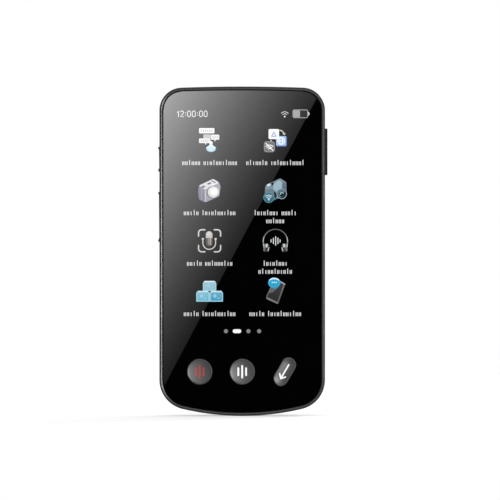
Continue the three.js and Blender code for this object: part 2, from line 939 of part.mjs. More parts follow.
// Room that is cut for a side key's flange where the edge of the cover curves in.
function flangeRoom(keyLength, below) {
  const length = keyLength + 2 * (sideKey.flangeBorder + sideKey.fit);
  const width = sideKey.width + 2 * (sideKey.flangeSide + sideKey.fit);
  const start = -halfWidth + cover.wall + sideKey.flangeGap - sideKey.fit;
  const reach = sideKey.flangeThickness + sideKey.plungerLength;
  return barX(stadium(length, width), start, port.depth, halfLength - below, reach);
}

function speakerWell() {
  return rectangle(speaker.meshWidth + 2 * fine, speaker.meshLength + 2 * fine, speaker.meshRadius + fine);
}

function jackPocket() {
  return rectangle(jack.width + 2 * jack.fit, jack.thickness + 2 * jack.fit, fine);
}

function coverRibs() {
  const wallDepth = gasketDepth + fine;
  const wallWidth = speaker.meshWidth + 2 * (fine + cover.ribWidth);
  const wallLength = speaker.meshLength + 2 * (fine + cover.ribWidth);
  const outerRadius = speaker.meshRadius + fine + cover.ribWidth;
  const outerShape = rectangle(wallWidth, wallLength, outerRadius);
  const height = innerBack - wallDepth;
  const speakerWall = cut(
    plate(outerShape, 0, speakerHeight, wallDepth, height + cover.wall / 2),
    plate(speakerWell(), 0, speakerHeight, wallDepth - overrun, height + overrun),
  );
  const ribDepth = innerBack - cover.ribHeight;
  const ribs = [];
  for (let z = batteryBottom + cover.ribPitch; z < batteryTop; z += cover.ribPitch) {
    ribs.push(block(0, z, ribDepth, 2 * battery.side, cover.ribWidth, cover.ribHeight + cover.wall / 2));
  }
  return [speakerWall, ...ribs];
}

function coverClips() {
  return clipPlaces().map(([side, height]) => {
    const root = halfWidth - cover.wall / 2;
    const tip = halfWidth - cover.wall - clip.reach;
    const x = (side * (root + tip)) / 2;
    return block(x, height, cover.frontDepth, root - tip, clip.length, clip.height);
  });
}

function rearCover() {
  const outer = skin(shellRings(0, cover.edgeWidth, body.depth, cover.frontDepth));
  const inner = skin(
    shellRings(cover.wall, cover.edgeWidth - cover.wall, innerBack, cover.frontDepth - overrun),
  );
  const shell = join(cut(outer, inner), ...coverRibs(), ...coverClips());
  const wallCut = cover.wall + 2 * overrun;
  const topStart = halfLength - jack.inset;
  const topCut = jack.inset + overrun;
  const usbShape = rectangle(usb.width + 2 * usb.fit, usb.height + 2 * usb.fit, usb.height / 2 + usb.fit);
  const cutters = [
    plate(islandShape(island.fit), 0, islandHeight, innerBack - overrun, wallCut),
    plate(speakerWell(), 0, speakerHeight, gasketDepth, innerBack - gasketDepth),
    barZ(jackPocket(), jack.across, port.depth, casingStart, jack.length + jack.fit),
    barZ(usbShape, usb.across, port.depth, topStart, topCut),
    barZ(disc(jack.noseRadius + jack.fit), jack.across, port.depth, topStart, topCut),
    barZ(disc(microphone.holeRadius, smallFacets), microphoneAcross(), port.depth, topStart, topCut),
    sideSlot(powerKey.length, powerKey.below),
    sideSlot(volumeKey.length, volumeKey.below),
    flangeRoom(powerKey.length, powerKey.below),
    flangeRoom(volumeKey.length, volumeKey.below),
    barX(
      trayShape(-tray.sealBorder + tray.sealFit),
      halfWidth - cover.wall - overrun,
      tray.depth,
      trayHeight,
      wallCut,
    ),
    ...grilleHoles(),
  ];
  return piece("rear_cover", cut(shell, ...cutters), 0x55565a, 0.55, 0.25);
}

function trayShape(border) {
  return stadium(tray.plateLength + 2 * border, tray.plateWidth + 2 * border);
}

// Camera island: a bezel cup with lens holes, a black window over it, two camera modules and a light guide.
function lensHeights() {
  return [islandHeight + island.lensPitch / 2, islandHeight - island.lensPitch / 2];
}

const islandFloor = body.depth - island.windowRecess - island.windowThickness - island.floorThickness;

function cameraBezel() {
  const thickness = body.depth + island.proud - islandFloor;
  const ring = plate(islandShape(0), 0, islandHeight, islandFloor, thickness);
  const flangeDepth = innerBack - seatGap - island.flangeThickness;
  const flange = plate(
    islandShape(island.flangeWidth),
    0,
    islandHeight,
    flangeDepth,
    island.flangeThickness,
  );
  const windowDepth = islandFloor + island.floorThickness;
  const pocket = plate(islandShape(-island.rim), 0, islandHeight, windowDepth, thickness);
  const lensHoles = lensHeights().map((z) => {
    return rod(0, z, flangeDepth - overrun, camera.barrelRadius + camera.fit, thickness + 2 * overrun);
  });
  const guideHole = rod(
    0,
    islandHeight,
    flangeDepth - overrun,
    flash.guideRadius + fine,
    thickness + 2 * overrun,
  );
  const cup = cut(join(ring, flange), pocket, ...lensHoles, guideHole);
  return piece("camera_bezel", cup, 0x8f9195, 0.3, 0.8);
}

function cameraWindow() {
  const border = -island.rim - island.windowFit;
  const back = islandFloor + island.floorThickness + seatGap;
  const front = back + island.windowThickness - seatGap;
  const ring = (inset, depth) => {
    return islandShape(border - inset).map((p) => new THREE.Vector3(p.x, yAt(depth), islandHeight + p.y));
  };
  const pane = skin([ring(island.windowBevel, front), ring(0, front - island.windowBevel), ring(0, back)]);
  const grooves = [...lensHeights(), islandHeight].map((z) => {
    const radius = z === islandHeight ? flash.guideRadius : camera.tipRadius;
    const start = front - island.grooveDepth;
    return cut(
      rod(0, z, start, radius + island.grooveWidth, island.grooveDepth + overrun),
      rod(0, z, start - overrun, radius, island.grooveDepth + 3 * overrun),
    );
  });
  return piece("camera_window", cut(pane, ...grooves), 0x08080a, 0.05, 0);
}

function cameraModule(name, height) {
  const baseDepth = boardBack + seatGap;
  const barrelDepth = baseDepth + camera.baseHeight;
  const tipDepth = islandFloor + island.floorThickness - seatGap - fine - camera.tipHeight;
  const base = plate(
    rectangle(camera.baseWidth, camera.baseWidth, camera.fit),
    0,
    0,
    baseDepth,
    camera.baseHeight,
  );
  const barrel = rod(0, 0, barrelDepth - seatGap, camera.barrelRadius, tipDepth - barrelDepth + seatGap);
  const tip = rod(0, 0, tipDepth - seatGap, camera.tipRadius, camera.tipHeight + seatGap);
  return placed(piece(name, join(base, barrel, tip), 0x1b1b1e, 0.35, 0.2), 0, body.depth, height);
}

function cameraGroup() {
  const [upper, lower] = lensHeights();
  const ledDepth = boardBack + seatGap;
  const led = block(0, 0, ledDepth, flash.ledWidth, flash.ledWidth, flash.ledHeight);
  const guideDepth = ledDepth + flash.ledHeight + seatGap;
  const guideEnd = islandFloor + island.floorThickness - seatGap;
  const guide = join(
    rod(0, 0, guideDepth, flash.footRadius, flash.footHeight),
    rod(0, 0, guideDepth, flash.guideRadius, guideEnd - guideDepth),
  );
  return group(
    cameraBezel(),
    cameraWindow(),
    cameraModule("camera_module_upper", upper),
    cameraModule("camera_module_lower", lower),
    placed(piece("flash_led", led, 0xf1e7b0, 0.4, 0), 0, body.depth, islandHeight),
    placed(piece("flash_light_guide", guide, 0xe9edf0, 0.1, 0), 0, body.depth, islandHeight),
  );
}

// Boards: the main board with its notches, two shield cans and the parts at the top edge.
function boardEdges() {
  const [left, right] = [-halfWidth + board.sideRoom, halfWidth - board.edge];
  const [top, bottom] = [halfLength - board.edge, halfLength - board.edge - board.length];
  return { left, right, top, bottom };
}

function shieldCan(name, size) {
  const z = halfLength - size.below;
  const depth = boardBack + seatGap;
  const outer = plate(
    rectangle(size.width, size.length, shield.cornerRadius),
    size.across,
    z,
    depth,
    shield.height,
  );
  const innerWidth = size.width - 2 * shield.wall;
  const innerLength = size.length - 2 * shield.wall;
  const innerRadius = shield.cornerRadius / 2;
  const hollow = plate(
    rectangle(innerWidth, innerLength, innerRadius), size.across, z, depth - overrun,
    shield.height - shield.wall + overrun);
  return piece(name, cut(outer, hollow), 0xb4b8bc, 0.35, 0.9);
}

function mainBoard() {
  const { left, right, top, bottom } = boardEdges();
  const outline = bodyPlate(board.edge, boardDepth, board.thickness);
  const middle = (left + right) / 2;
  const area = block(middle, (top + bottom) / 2, boardDepth - overrun, right - left, top - bottom,
    board.thickness + 2 * overrun);
  const notch = (x, width, length) =>
    block(x, halfLength - length / 2, boardDepth - overrun, width, length, board.thickness + 2 * overrun);
  const usbNotch = notch(
    usb.across,
    usb.width + 2 * usb.notchBorder,
    usb.inset + usb.length + usb.notchBorder,
  );
  const jackLength = jack.inset + jack.length + jack.notchBorder;
  const jackNotch = notch(jack.across, jack.width + 2 * jack.notchBorder, jackLength);
  const holes = boardScrewPlaces().map(([x, z]) => {
    return rod(x, z, boardDepth - overrun, screw.hole, board.thickness + 2 * overrun, smallFacets);
  });
  return piece("main_board", cut(common(outline, area), usbNotch, jackNotch, ...holes), 0x12482a, 0.5, 0.1);
}

function usbPort() {
  const start = halfLength - usb.inset - usb.length;
  const shape = (border) => rectangle(
    usb.width + 2 * border,
    usb.height + 2 * border,
    usb.height / 2 + border,
  );
  const shell = barZ(shape(0), usb.across, port.depth, start, usb.length);
  const bore = barZ(shape(-usb.wall), usb.across, port.depth, start + usb.wall, usb.length);
  const tongueLength = usb.length - usb.tongueInset;
  const tongue = block(
    usb.across,
    start + tongueLength / 2,
    port.depth - usb.tongueThickness / 2,
    usb.tongueWidth,
    tongueLength,
    usb.tongueThickness,
  );
  return piece("usb_c_port", join(cut(shell, bore), tongue), 0xb9bcc0, 0.3, 1);
}

const casingStart = halfLength - jack.inset - jack.length;

function audioJack() {
  const end = topEdge(jack.across + jack.noseRadius) - jack.noseInset;
  const casing = barZ(
    rectangle(jack.width, jack.thickness, fine),
    jack.across,
    port.depth,
    casingStart,
    jack.length,
  );
  const noseStart = casingStart + fine;
  const nose = barZ(disc(jack.noseRadius), jack.across, port.depth, noseStart, end - noseStart);
  const bore = barZ(
    disc(jack.bore / 2),
    jack.across,
    port.depth,
    end - jack.boreLength,
    jack.boreLength + overrun,
  );
  return piece("audio_jack", cut(join(casing, nose), bore), 0x1a1a1c, 0.4, 0.1);
}

function topMicrophone() {
  const right = usb.across - usb.width / 2 - fine;
  const across = right - microphone.bootWidth / 2;
  const bootTop = halfLength - cover.wall - fine;
  const depth = boardBack + seatGap;
  const bootMiddle = bootTop - microphone.bootLength / 2;
  const boot = block(
    across,
    bootMiddle,
    depth,
    microphone.bootWidth,
    microphone.bootLength,
    microphone.bootThickness,
  );
  const channel = barZ(
    disc(microphone.holeRadius, smallFacets),
    microphoneAcross(),
    depth + microphone.bootThickness / 2,
    bootTop - microphone.bootLength - overrun,
    microphone.bootLength + 2 * overrun,
  );
  const capsuleMiddle = bootTop - microphone.bootLength - fine - microphone.length / 2;
  const capsule = block(
    across,
    capsuleMiddle,
    depth,
    microphone.width,
    microphone.length,
    microphone.thickness,
  );
  return group(
    piece("microphone_boot", cut(boot, channel), 0x232325, 0.85, 0),
    piece("top_microphone", capsule, 0xc9b26a, 0.3, 0.9),
  );
}

// Side keys: dished caps in slots of the cover, over switches on a side board held by a folded bracket.
const sideFlange = cover.wall + sideKey.flangeGap;
const plungerEnd = sideFlange + sideKey.flangeThickness + sideKey.plungerLength;
const switchFace = plungerEnd + sideKey.switchGap;
const sideBoardFace = switchFace + tact.actuatorHeight + tact.height + seatGap;
const bracketFace = sideBoardFace + sideBoard.thickness + seatGap;

function sideKeyPiece(name, size, nubs) {
  const outline = stadium(size.length, sideKey.width);
  const reach = sideKey.proud + sideFlange + sideKey.flangeThickness / 2;
  const half = size.length / 2;
  const foot = half - sideKey.endRound;
  const flat = foot - sideKey.endRise;
  const middle = sideKey.endRise / 2;
  const face = new THREE.Path();
  face.moveTo(-half, reach);
  face.lineTo(-half, sideKey.endRound);
  face.quadraticCurveTo(-half, 0, -half + sideKey.endRound, 0);
  face.bezierCurveTo(-foot + middle, 0, -foot + middle, sideKey.dish, -flat, sideKey.dish);
  face.lineTo(flat, sideKey.dish);
  face.bezierCurveTo(foot - middle, sideKey.dish, foot - middle, 0, foot, 0);
  face.quadraticCurveTo(half, 0, half, sideKey.endRound);
  face.lineTo(half, reach);
  const dishedFace = extruded(face.getPoints(dishFacets), 2 * sideKey.width);
  dishedFace.rotateZ(-Math.PI / 2).rotateX(Math.PI / 2).translate(-sideKey.proud, sideKey.width, 0);
  const cap = common(barX(outline, -sideKey.proud, body.depth, 0, reach), dishedFace);
  const flangeShape = stadium(
    size.length + 2 * sideKey.flangeBorder,
    sideKey.width + 2 * sideKey.flangeSide,
  );
  const flange = barX(flangeShape, sideFlange, body.depth, 0, sideKey.flangeThickness);
  const plungerStart = sideFlange + sideKey.flangeThickness / 2;
  const plungers = nubs.map(([z, radius]) => {
    return barX(disc(radius, smallFacets), plungerStart, body.depth, z, plungerEnd - plungerStart);
  });
  const mesh = piece(name, join(cap, flange, ...plungers), 0x111113, 0.4, 0.1);
  return placed(mesh, -halfWidth, port.depth, halfLength - size.below);
}

function tactSwitch(name, height) {
  const bodyStart = switchFace + tact.actuatorHeight;
  const casing = new THREE.BoxGeometry(tact.height, tact.width, tact.length).translate(
    bodyStart + tact.height / 2,
    0,
    0,
  );
  const actuator = barX(
    disc(tact.actuatorRadius, smallFacets),
    switchFace,
    body.depth,
    0,
    tact.actuatorHeight + tact.height / 2,
  );
  return placed(piece(name, join(casing, actuator), 0xd9dadb, 0.4, 0.5), -halfWidth, port.depth, height);
}

function sideKeys() {
  const power = halfLength - powerKey.below;
  const volume = halfLength - volumeKey.below;
  const top = power + tact.length / 2 + sideBoard.border;
  const bottom = volume - volumeKey.plungerAcross - tact.length / 2 - sideBoard.border;
  const middle = (top + bottom) / 2;
  const length = top - bottom;
  const boardX = -halfWidth + sideBoardFace + sideBoard.thickness / 2;
  const depth = port.depth - sideBoard.width / 2;
  const sheet = block(boardX, middle, depth, sideBoard.thickness, length, sideBoard.width);
  const bracketX = -halfWidth + bracketFace + bracket.thickness / 2;
  const footDepth = frame.backDepth + seatGap;
  const upright = block(
    bracketX,
    middle,
    footDepth,
    bracket.thickness,
    length,
    depth + sideBoard.width - footDepth,
  );
  const footX = bracketX - bracket.thickness / 2 + bracket.foot / 2;
  const foot = block(footX, middle, footDepth, bracket.foot, length, bracket.thickness);
  const nub = volumeKey.plungerAcross;
  return group(
    piece("side_key_board", sheet, 0x14502c, 0.5, 0.1),
    piece("side_key_bracket", join(upright, foot), 0xa5a8ac, 0.4, 0.9),
    tactSwitch("power_switch", power),
    tactSwitch("volume_up_switch", volume + nub),
    tactSwitch("volume_down_switch", volume - nub),
    sideKeyPiece("power_key", powerKey, [[0, sideKey.plungerRadius]]),
    sideKeyPiece("volume_key", volumeKey, [
      [-nub, sideKey.plungerRadius],
      [nub, sideKey.plungerRadius],
    ]),
  );
}

// Card tray: face plate, seal and blade slide out of a folded socket.
// The socket also holds the eject rod and lever.
function cardTray() {
  const plateStart = halfWidth + tray.proud - tray.plateThickness;
  const pin = (start, length) =>
    barX(disc(tray.pinRadius, smallFacets), start, tray.depth, trayHeight - tray.pinBelow, length);
  const face = cut(
    barX(trayShape(0), plateStart, tray.depth, trayHeight, tray.plateThickness),
    pin(plateStart - overrun, tray.plateThickness + 2 * overrun),
  );
  const sealStart = plateStart - seatGap - tray.sealThickness;
  const tongueWidth = tray.tongueWidth;
  const opening = block(
    sealStart + tray.sealThickness / 2,
    bladeHeight,
    tray.depth - tray.bladeThickness / 2 - seatGap,
    tray.sealThickness + 2 * overrun,
    tongueWidth + 2 * seatGap,
    tray.bladeThickness + 2 * seatGap,
  );
  const seal = cut(
    barX(trayShape(-tray.sealBorder), sealStart, tray.depth, trayHeight, tray.sealThickness),
    opening,
    pin(sealStart - overrun, tray.sealThickness + 2 * overrun),
  );
  const bladeEnd = plateStart - seatGap;
  const bladeOuter = sealStart - seatGap;
  const bladeDepth = tray.depth - tray.bladeThickness / 2;
  const blade = block(
    bladeOuter - tray.bladeLength / 2,
    bladeHeight,
    bladeDepth,
    tray.bladeLength,
    tray.bladeWidth,
    tray.bladeThickness,
  );
  const tongue = block((bladeEnd + bladeOuter - tray.railWidth) / 2, bladeHeight, bladeDepth,
    bladeEnd - bladeOuter + tray.railWidth, tongueWidth, tray.bladeThickness);
  const wellWidth = (tray.bladeLength - 2 * tray.railWidth - tray.cardDivider) / 2;
  const wells = [0, 1].map((i) => {
    const x = bladeOuter - tray.railWidth - wellWidth / 2 - i * (wellWidth + tray.cardDivider);
    const depth = bladeDepth + tray.cardFloor;
    return block(
      x,
      bladeHeight,
      depth,
      wellWidth,
      tray.bladeWidth - 2 * tray.railWidth,
      tray.bladeThickness,
    );
  });
  return group(
    piece("tray_face_plate", face, 0xa9abae, 0.35, 0.8),
    piece("tray_seal", seal, 0x161617, 0.8, 0),
    piece("card_tray", cut(join(blade, tongue), ...wells), 0x8b8d91, 0.4, 0.6),
  );
}

function bladeEnds() {
  const plateStart = halfWidth + tray.proud - tray.plateThickness;
  const outer = plateStart - seatGap - tray.sealThickness - seatGap;
  return { outer, inner: outer - tray.bladeLength };
}

function cardSocket() {
  const { outer } = bladeEnds();
  const right = Math.min(outer, halfWidth - cover.wall) - socket.frontGap;
  const left = leverX() - eject.leverWidth / 2 - eject.rodTravel - 2 * socket.sideRoom - socket.sheet;
  const rodHeight = trayHeight - tray.pinBelow;
  const bottom = rodHeight - eject.rodRadius - socket.sideRoom - socket.sheet;
  const top = bladeHeight + tray.bladeWidth / 2 + socket.sideRoom + socket.sheet;
  const depth = boardBack + seatGap;
  const height = tray.depth + tray.bladeThickness / 2 + socket.room + socket.sheet - depth;
  const [x, z] = [(left + right) / 2, (top + bottom) / 2];
  const [width, length] = [right - left, top - bottom];
  const outerBox = block(x, z, depth, width, length, height);
  const innerBox = block(x + socket.sheet, z, depth - overrun, width, length - 2 * socket.sheet,
    height - socket.sheet + overrun);
  const windows = [-1, 1].map((side) => {
    const windowWidth = width * socket.windowShare;
    return block(
      x + side * windowWidth,
      bladeHeight,
      depth,
      windowWidth,
      tray.bladeWidth / 2,
      height + overrun,
    );
  });
  const pivot = rod(
    leverX(),
    bladeHeight,
    depth + fine,
    socket.pinRadius,
    height - socket.sheet / 2 - fine,
    smallFacets,
  );
  return piece("card_socket", join(cut(outerBox, innerBox, ...windows), pivot), 0xb4b8bc, 0.35, 0.95);
}

function leverX() {
  return bladeEnds().inner - eject.leverGap - eject.leverWidth / 2;
}

function ejector() {
  const rodHeight = trayHeight - tray.pinBelow;
  const rodStart = leverX() + eject.leverWidth / 2 + eject.fit;
  const rodEnd = halfWidth - cover.wall - fine;
  const push = barX(disc(eject.rodRadius, smallFacets), rodStart, tray.depth, rodHeight, rodEnd - rodStart);
  const lowerArm = bladeHeight - rodHeight + eject.rodRadius;
  const upperArm = (tray.bladeWidth / 2) * eject.armShare;
  const lever = plate(stadium(lowerArm + upperArm, eject.leverWidth), 0, (upperArm - lowerArm) / 2, 0,
    eject.leverThickness);
  const hub = rod(0, 0, 0, eject.leverWidth / 2 + eject.fit, eject.leverThickness);
  const hole = rod(
    0,
    0,
    -overrun,
    socket.pinRadius + eject.fit,
    eject.leverThickness + 2 * overrun,
    smallFacets,
  );
  const arm = cut(join(lever, hub), hole).translate(0, -yAt(eject.leverThickness / 2), 0);
  return group(
    piece("eject_rod", push, 0xc4c6c9, 0.3, 1),
    placed(piece("eject_lever", arm, 0xb9bcc0, 0.3, 1), leverX(), tray.depth, bladeHeight),
  );
}

// Speaker: a driver in a cradle with two screw ears, a foam gasket and a dust mesh behind the grille.
function speakerGroup() {
  const meshShape = rectangle(speaker.meshWidth, speaker.meshLength, speaker.meshRadius);
  const mesh = plate(meshShape, 0, speakerHeight, meshDepth, speaker.meshThickness);
  const shape = (border, length = speaker.length) =>
    rectangle(
      speaker.width + 2 * border,
      length + 2 * border,
      Math.max(speaker.cornerRadius + border, fine),
    );
  const gasketLength = Math.min(speaker.length, speaker.meshLength);
  const gasket = cut(
    plate(shape(0, gasketLength), 0, speakerHeight, gasketDepth, speaker.gasketThickness),
    plate(shape(-speaker.gasketWidth, gasketLength), 0, speakerHeight, gasketDepth - overrun,
      speaker.gasketThickness + 2 * overrun),
  );
  const driver = cut(
    plate(shape(0), 0, speakerHeight, basketDepth, speaker.basketThickness),
    plate(
      shape(-speaker.coneInset),
      0,
      speakerHeight,
      basketDepth + speaker.basketThickness - speaker.coneDepth,
      speaker.coneDepth + overrun,
    ),
  );
  const cradleDepth = frame.backDepth + seatGap;
  const cradleHeight = basketDepth - seatGap - cradleDepth + speaker.basketThickness / 2;
  const outerBorder = fine + speaker.cradleWall;
  const ears = cradleScrewPlaces().map(([x, z]) => {
    const reach = speaker.earRadius;
    const ear = rod(x, z, cradleDepth, reach, speaker.earThickness);
    const web = block(
      x - (Math.sign(x) * reach) / 2,
      z,
      cradleDepth,
      reach,
      2 * reach,
      speaker.earThickness,
    );
    return join(ear, web);
  });
  const wellDepth = basketDepth - seatGap;
  const earHoles = cradleScrewPlaces().map(([x, z]) => {
    return rod(x, z, cradleDepth - overrun, screw.hole, speaker.earThickness + 2 * overrun, smallFacets);
  });
  const floorHole = plate(
    shape(-speaker.coneInset),
    0,
    speakerHeight,
    cradleDepth - overrun,
    cradleHeight + 2 * overrun,
  );
  const cradle = cut(
    join(plate(shape(outerBorder), 0, speakerHeight, cradleDepth, cradleHeight), ...ears),
    plate(shape(fine), 0, speakerHeight, wellDepth, cradleHeight),
    floorHole,
    ...earHoles,
  );
  return group(
    piece("speaker_mesh", mesh, 0x0c0c0d, 0.9, 0),
    piece("speaker_gasket", gasket, 0x1d1d1f, 0.95, 0),
    piece("speaker_driver", driver, 0x2a2a2d, 0.5, 0.4),
    piece("speaker_cradle", cradle, 0x2e2f31, 0.6, 0),
  );
}

// Battery: a pouch cell with its protection strip, and the lead to the main board.
function batteryGroup() {
  const start = frame.backDepth + chassis.ribHeight + seatGap;
  const thickness = innerBack - battery.rearRoom - start;
  const ring = (inset, depth) => {
    const outline = rectangle(
      2 * (battery.side - inset), batteryTop - batteryBottom - 2 * inset, battery.cornerRadius - inset / 2);
    return outline.map((p) => new THREE.Vector3(p.x, yAt(depth), batteryMiddle + p.y));
  };
  const round = battery.edgeRound;
  const step = round * battery.edgeStepShare;
  const cell = skin([
    ring(round, start + thickness),
    ring(step, start + thickness - step),
    ring(0, start + thickness - round),
    ring(0, start + round),
    ring(step, start + step),
    ring(round, start),
  ]);
  const stripHeight = batteryTop + fine + battery.stripLength / 2;
  const stripShape = rectangle(2 * battery.side - battery.cornerRadius * 2, battery.stripLength, fine);
  const stripDepth = start + battery.edgeRound;
  const guard = plate(stripShape, 0, stripHeight, stripDepth, battery.stripThickness);
  const leadDepth = stripDepth + battery.stripThickness + ribbon.thickness / 2 + ribbon.lift;
  const boardFace = boardBack + ribbon.thickness / 2 + ribbon.lift;
  const boardEdge = boardEdges().bottom;
  const route = [
    [stripHeight, leadDepth],
    [boardEdge, leadDepth],
    [boardEdge + batteryLead.drop, boardFace],
    [boardEdge + 2 * batteryLead.drop, boardFace],
  ];
  const lead = strip(route, batteryLead.width, batteryLead.across);
  return group(
    piece("battery", cell, 0x2b2d31, 0.45, 0.3),
    piece("battery_protection_board", guard, 0x1c5a30, 0.5, 0.1),
    piece("battery_lead", lead, 0x8a5a1c, 0.5, 0.1),
  );
}

// The ribbon from the key board, through the chassis and up behind the battery to the main board.
function boardFlex() {
  const front = keyBoardDepth + keyBoard.thickness / 2;
  const behind = frame.backDepth + ribbon.thickness / 2 + ribbon.lift;
  const slope = slotRoom - ribbon.bend / 2;
  const route = [
    [keyBoardTop + seatGap, front],
    [boardSlotMiddle - slope, front],
    [boardSlotMiddle + slope, behind],
    [boardEdges().bottom + ribbon.boardWidth / 2, behind],
  ];
  return piece("board_flex", strip(route, ribbon.boardWidth, ribbon.boardAcross), 0x8a5a1c, 0.5, 0.1);
}

// Screws: a slotted head on a plain shank, each shank going forwards from its head.
function screwPiece(name, [x, z], seatDepth, tipDepth) {
  const head = rod(0, 0, seatDepth + seatGap, screw.headRadius, screw.headHeight, smallFacets);
  const shank = rod(
    0,
    0,
    tipDepth,
    screw.shankRadius,
    seatDepth + seatGap + screw.headHeight / 2 - tipDepth,
    smallFacets,
  );
  const slotDepth = seatDepth + seatGap + screw.headHeight - screw.slotDepth;
  const slot = block(
    0,
    0,
    slotDepth,
    2 * screw.headRadius + overrun,
    screw.slotWidth,
    screw.slotDepth + overrun,
  );
  return placed(piece(name, cut(join(head, shank), slot), 0x88898c, 0.3, 1), x, body.depth, z);
}

function screws() {
  const thread = chassisDepth + seatGap;
  const frameTip = ledgeDepth + frame.ledgeThickness + seatGap;
  return [
    ...frameBosses().map(
      (place, i) => screwPiece("frame_screw_" + (i + 1), place, frame.backDepth, frameTip),
    ),
    ...boardScrewPlaces().map((place, i) => screwPiece("board_screw_" + (i + 1), place, boardBack, thread)),
    ...cradleScrewPlaces().map((place, i) => {
      const seat = frame.backDepth + seatGap + speaker.earThickness;
      return screwPiece("cradle_screw_" + (i + 1), place, seat, thread);
    }),
  ];
}

const front = group(frontFrame(), coverGlass(), displayModule(), keypad());
const middlePart = group(
  chassisPlate(),
  mainBoard(),
  shieldCan("processor_shield", processorShield),
  shieldCan("radio_shield", radioShield),
  usbPort(),
  audioJack(),
  topMicrophone(),
  batteryGroup(),
  boardFlex(),
  speakerGroup(),
  screws(),
);
const sides = group(sideKeys(), cardTray(), cardSocket(), ejector());
const rear = group(rearCover(), cameraGroup());

const translator = group(front, middlePart, sides, rear);
translator.name = "handheld_translator";

export default translator;
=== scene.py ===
"""Looks of a handheld translator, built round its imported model.

Sizes are in millimetres up to the moment a mesh is made, which is in metres.
The screen faces -Y, the back faces +Y, and +Z runs up along the body.
"""

import json
import logging
import math
from dataclasses import dataclass
from enum import Enum
from typing import Callable, Sequence

import bmesh
import bpy
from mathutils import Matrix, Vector


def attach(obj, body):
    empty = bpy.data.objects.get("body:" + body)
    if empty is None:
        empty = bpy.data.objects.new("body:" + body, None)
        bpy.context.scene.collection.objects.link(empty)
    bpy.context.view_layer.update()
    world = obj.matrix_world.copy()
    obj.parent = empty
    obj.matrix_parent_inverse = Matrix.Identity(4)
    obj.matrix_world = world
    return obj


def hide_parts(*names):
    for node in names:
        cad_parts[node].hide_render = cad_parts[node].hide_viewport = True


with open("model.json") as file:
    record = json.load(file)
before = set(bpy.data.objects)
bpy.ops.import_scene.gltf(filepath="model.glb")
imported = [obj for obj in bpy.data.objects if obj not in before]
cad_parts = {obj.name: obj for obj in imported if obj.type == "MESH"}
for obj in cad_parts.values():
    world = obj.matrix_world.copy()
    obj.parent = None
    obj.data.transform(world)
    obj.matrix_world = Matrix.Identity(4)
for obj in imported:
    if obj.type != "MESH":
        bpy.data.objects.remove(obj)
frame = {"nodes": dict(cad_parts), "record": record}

LOG = logging.getLogger("translator")
MM = 0.001
HOUSING = "housing"
CREASE = 32.0

Pair = tuple[float, float]
Outline = list[Pair]
Triple = tuple[float, float, float]
Colour = Triple
Ring = list[Vector]
Placer = Callable[[float, float, float], Vector]
Socket = bpy.types.NodeSocket

BLOTCH_PITCH = 9.0
BLOTCH_SHARE = 0.35
BUMP_SHARE = 0.3
MATT_SHARES = (0.9, 1.12)
PATTERN_SPAN = (0.3, 0.7)
THREAD_SHARE = 0.314
TRACE_PITCH = 0.12
TRACE_SPAN = (0.04, 0.07)
EDGE_ANGLES = (0.4, 0.8, 1.2, math.pi / 2)
TIP_ANGLES = (1.1, 0.6, 0.12)
COAT_ROUGHNESS = 0.03


class Grain(Enum):
    """The kinds of surface detail a finish can have."""

    SMOOTH = "smooth"
    MOULDED = "moulded"
    BRUSHED_UP = "brushed along the body"
    BRUSHED_ACROSS = "brushed across the body"
    WOVEN = "woven"
    PORES = "pores"
    TRACES = "traces"
    CREASED = "creased"


BRUSH_STRETCH = {
    Grain.BRUSHED_UP: (1.0, 1.0, 0.04),
    Grain.BRUSHED_ACROSS: (0.04, 1.0, 1.0),
}


class Wiring:
    """Adds nodes to a node tree, with values and links in their inputs."""

    def __init__(self, tree: bpy.types.NodeTree) -> None:
        """Keeps the tree that the nodes go into."""
        self.tree = tree

    def fill(self, node: bpy.types.Node, inputs: dict[str | int, object]) -> None:
        """Puts a value or a link into some of a node's inputs.

        Args:
            node: The node.
            inputs: A value, or the output of another node, for each input.
        """
        for key, value in inputs.items():
            if isinstance(value, Socket):
                self.tree.links.new(value, node.inputs[key])
            else:
                node.inputs[key].default_value = value

    def add(
        self, kind: str, inputs: dict[str | int, object] | None = None, **settings: str
    ) -> bpy.types.Node:
        """Adds a node.

        Args:
            kind: Its type, without the ShaderNode in front.
            inputs: A value, or the output of another node, for each input.
            **settings: The settings of the node itself.

        Returns:
            The node.
        """
        node = self.tree.nodes.new(f"ShaderNode{kind}")
        for key, value in settings.items():
            setattr(node, key, value)
        self.fill(node, inputs or {})
        return node

    def place(self) -> Socket:
        """The place on the object, in metres."""
        return self.add("TexCoord").outputs["Object"]


def painted(
    name: str, paint: Callable[[Wiring, bpy.types.Node], None]
) -> bpy.types.Material:
    """Makes a node material, or returns the one made before.

    Args:
        name: The material's name.
        paint: Fills in its nodes and its surface shader.

    Returns:
        The material.
    """
    made = bpy.data.materials.get(name)
    if made:
        return made
    made = bpy.data.materials.new(name)
    made.use_nodes = True
    paint(Wiring(made.node_tree), made.node_tree.nodes["Principled BSDF"])
    return made


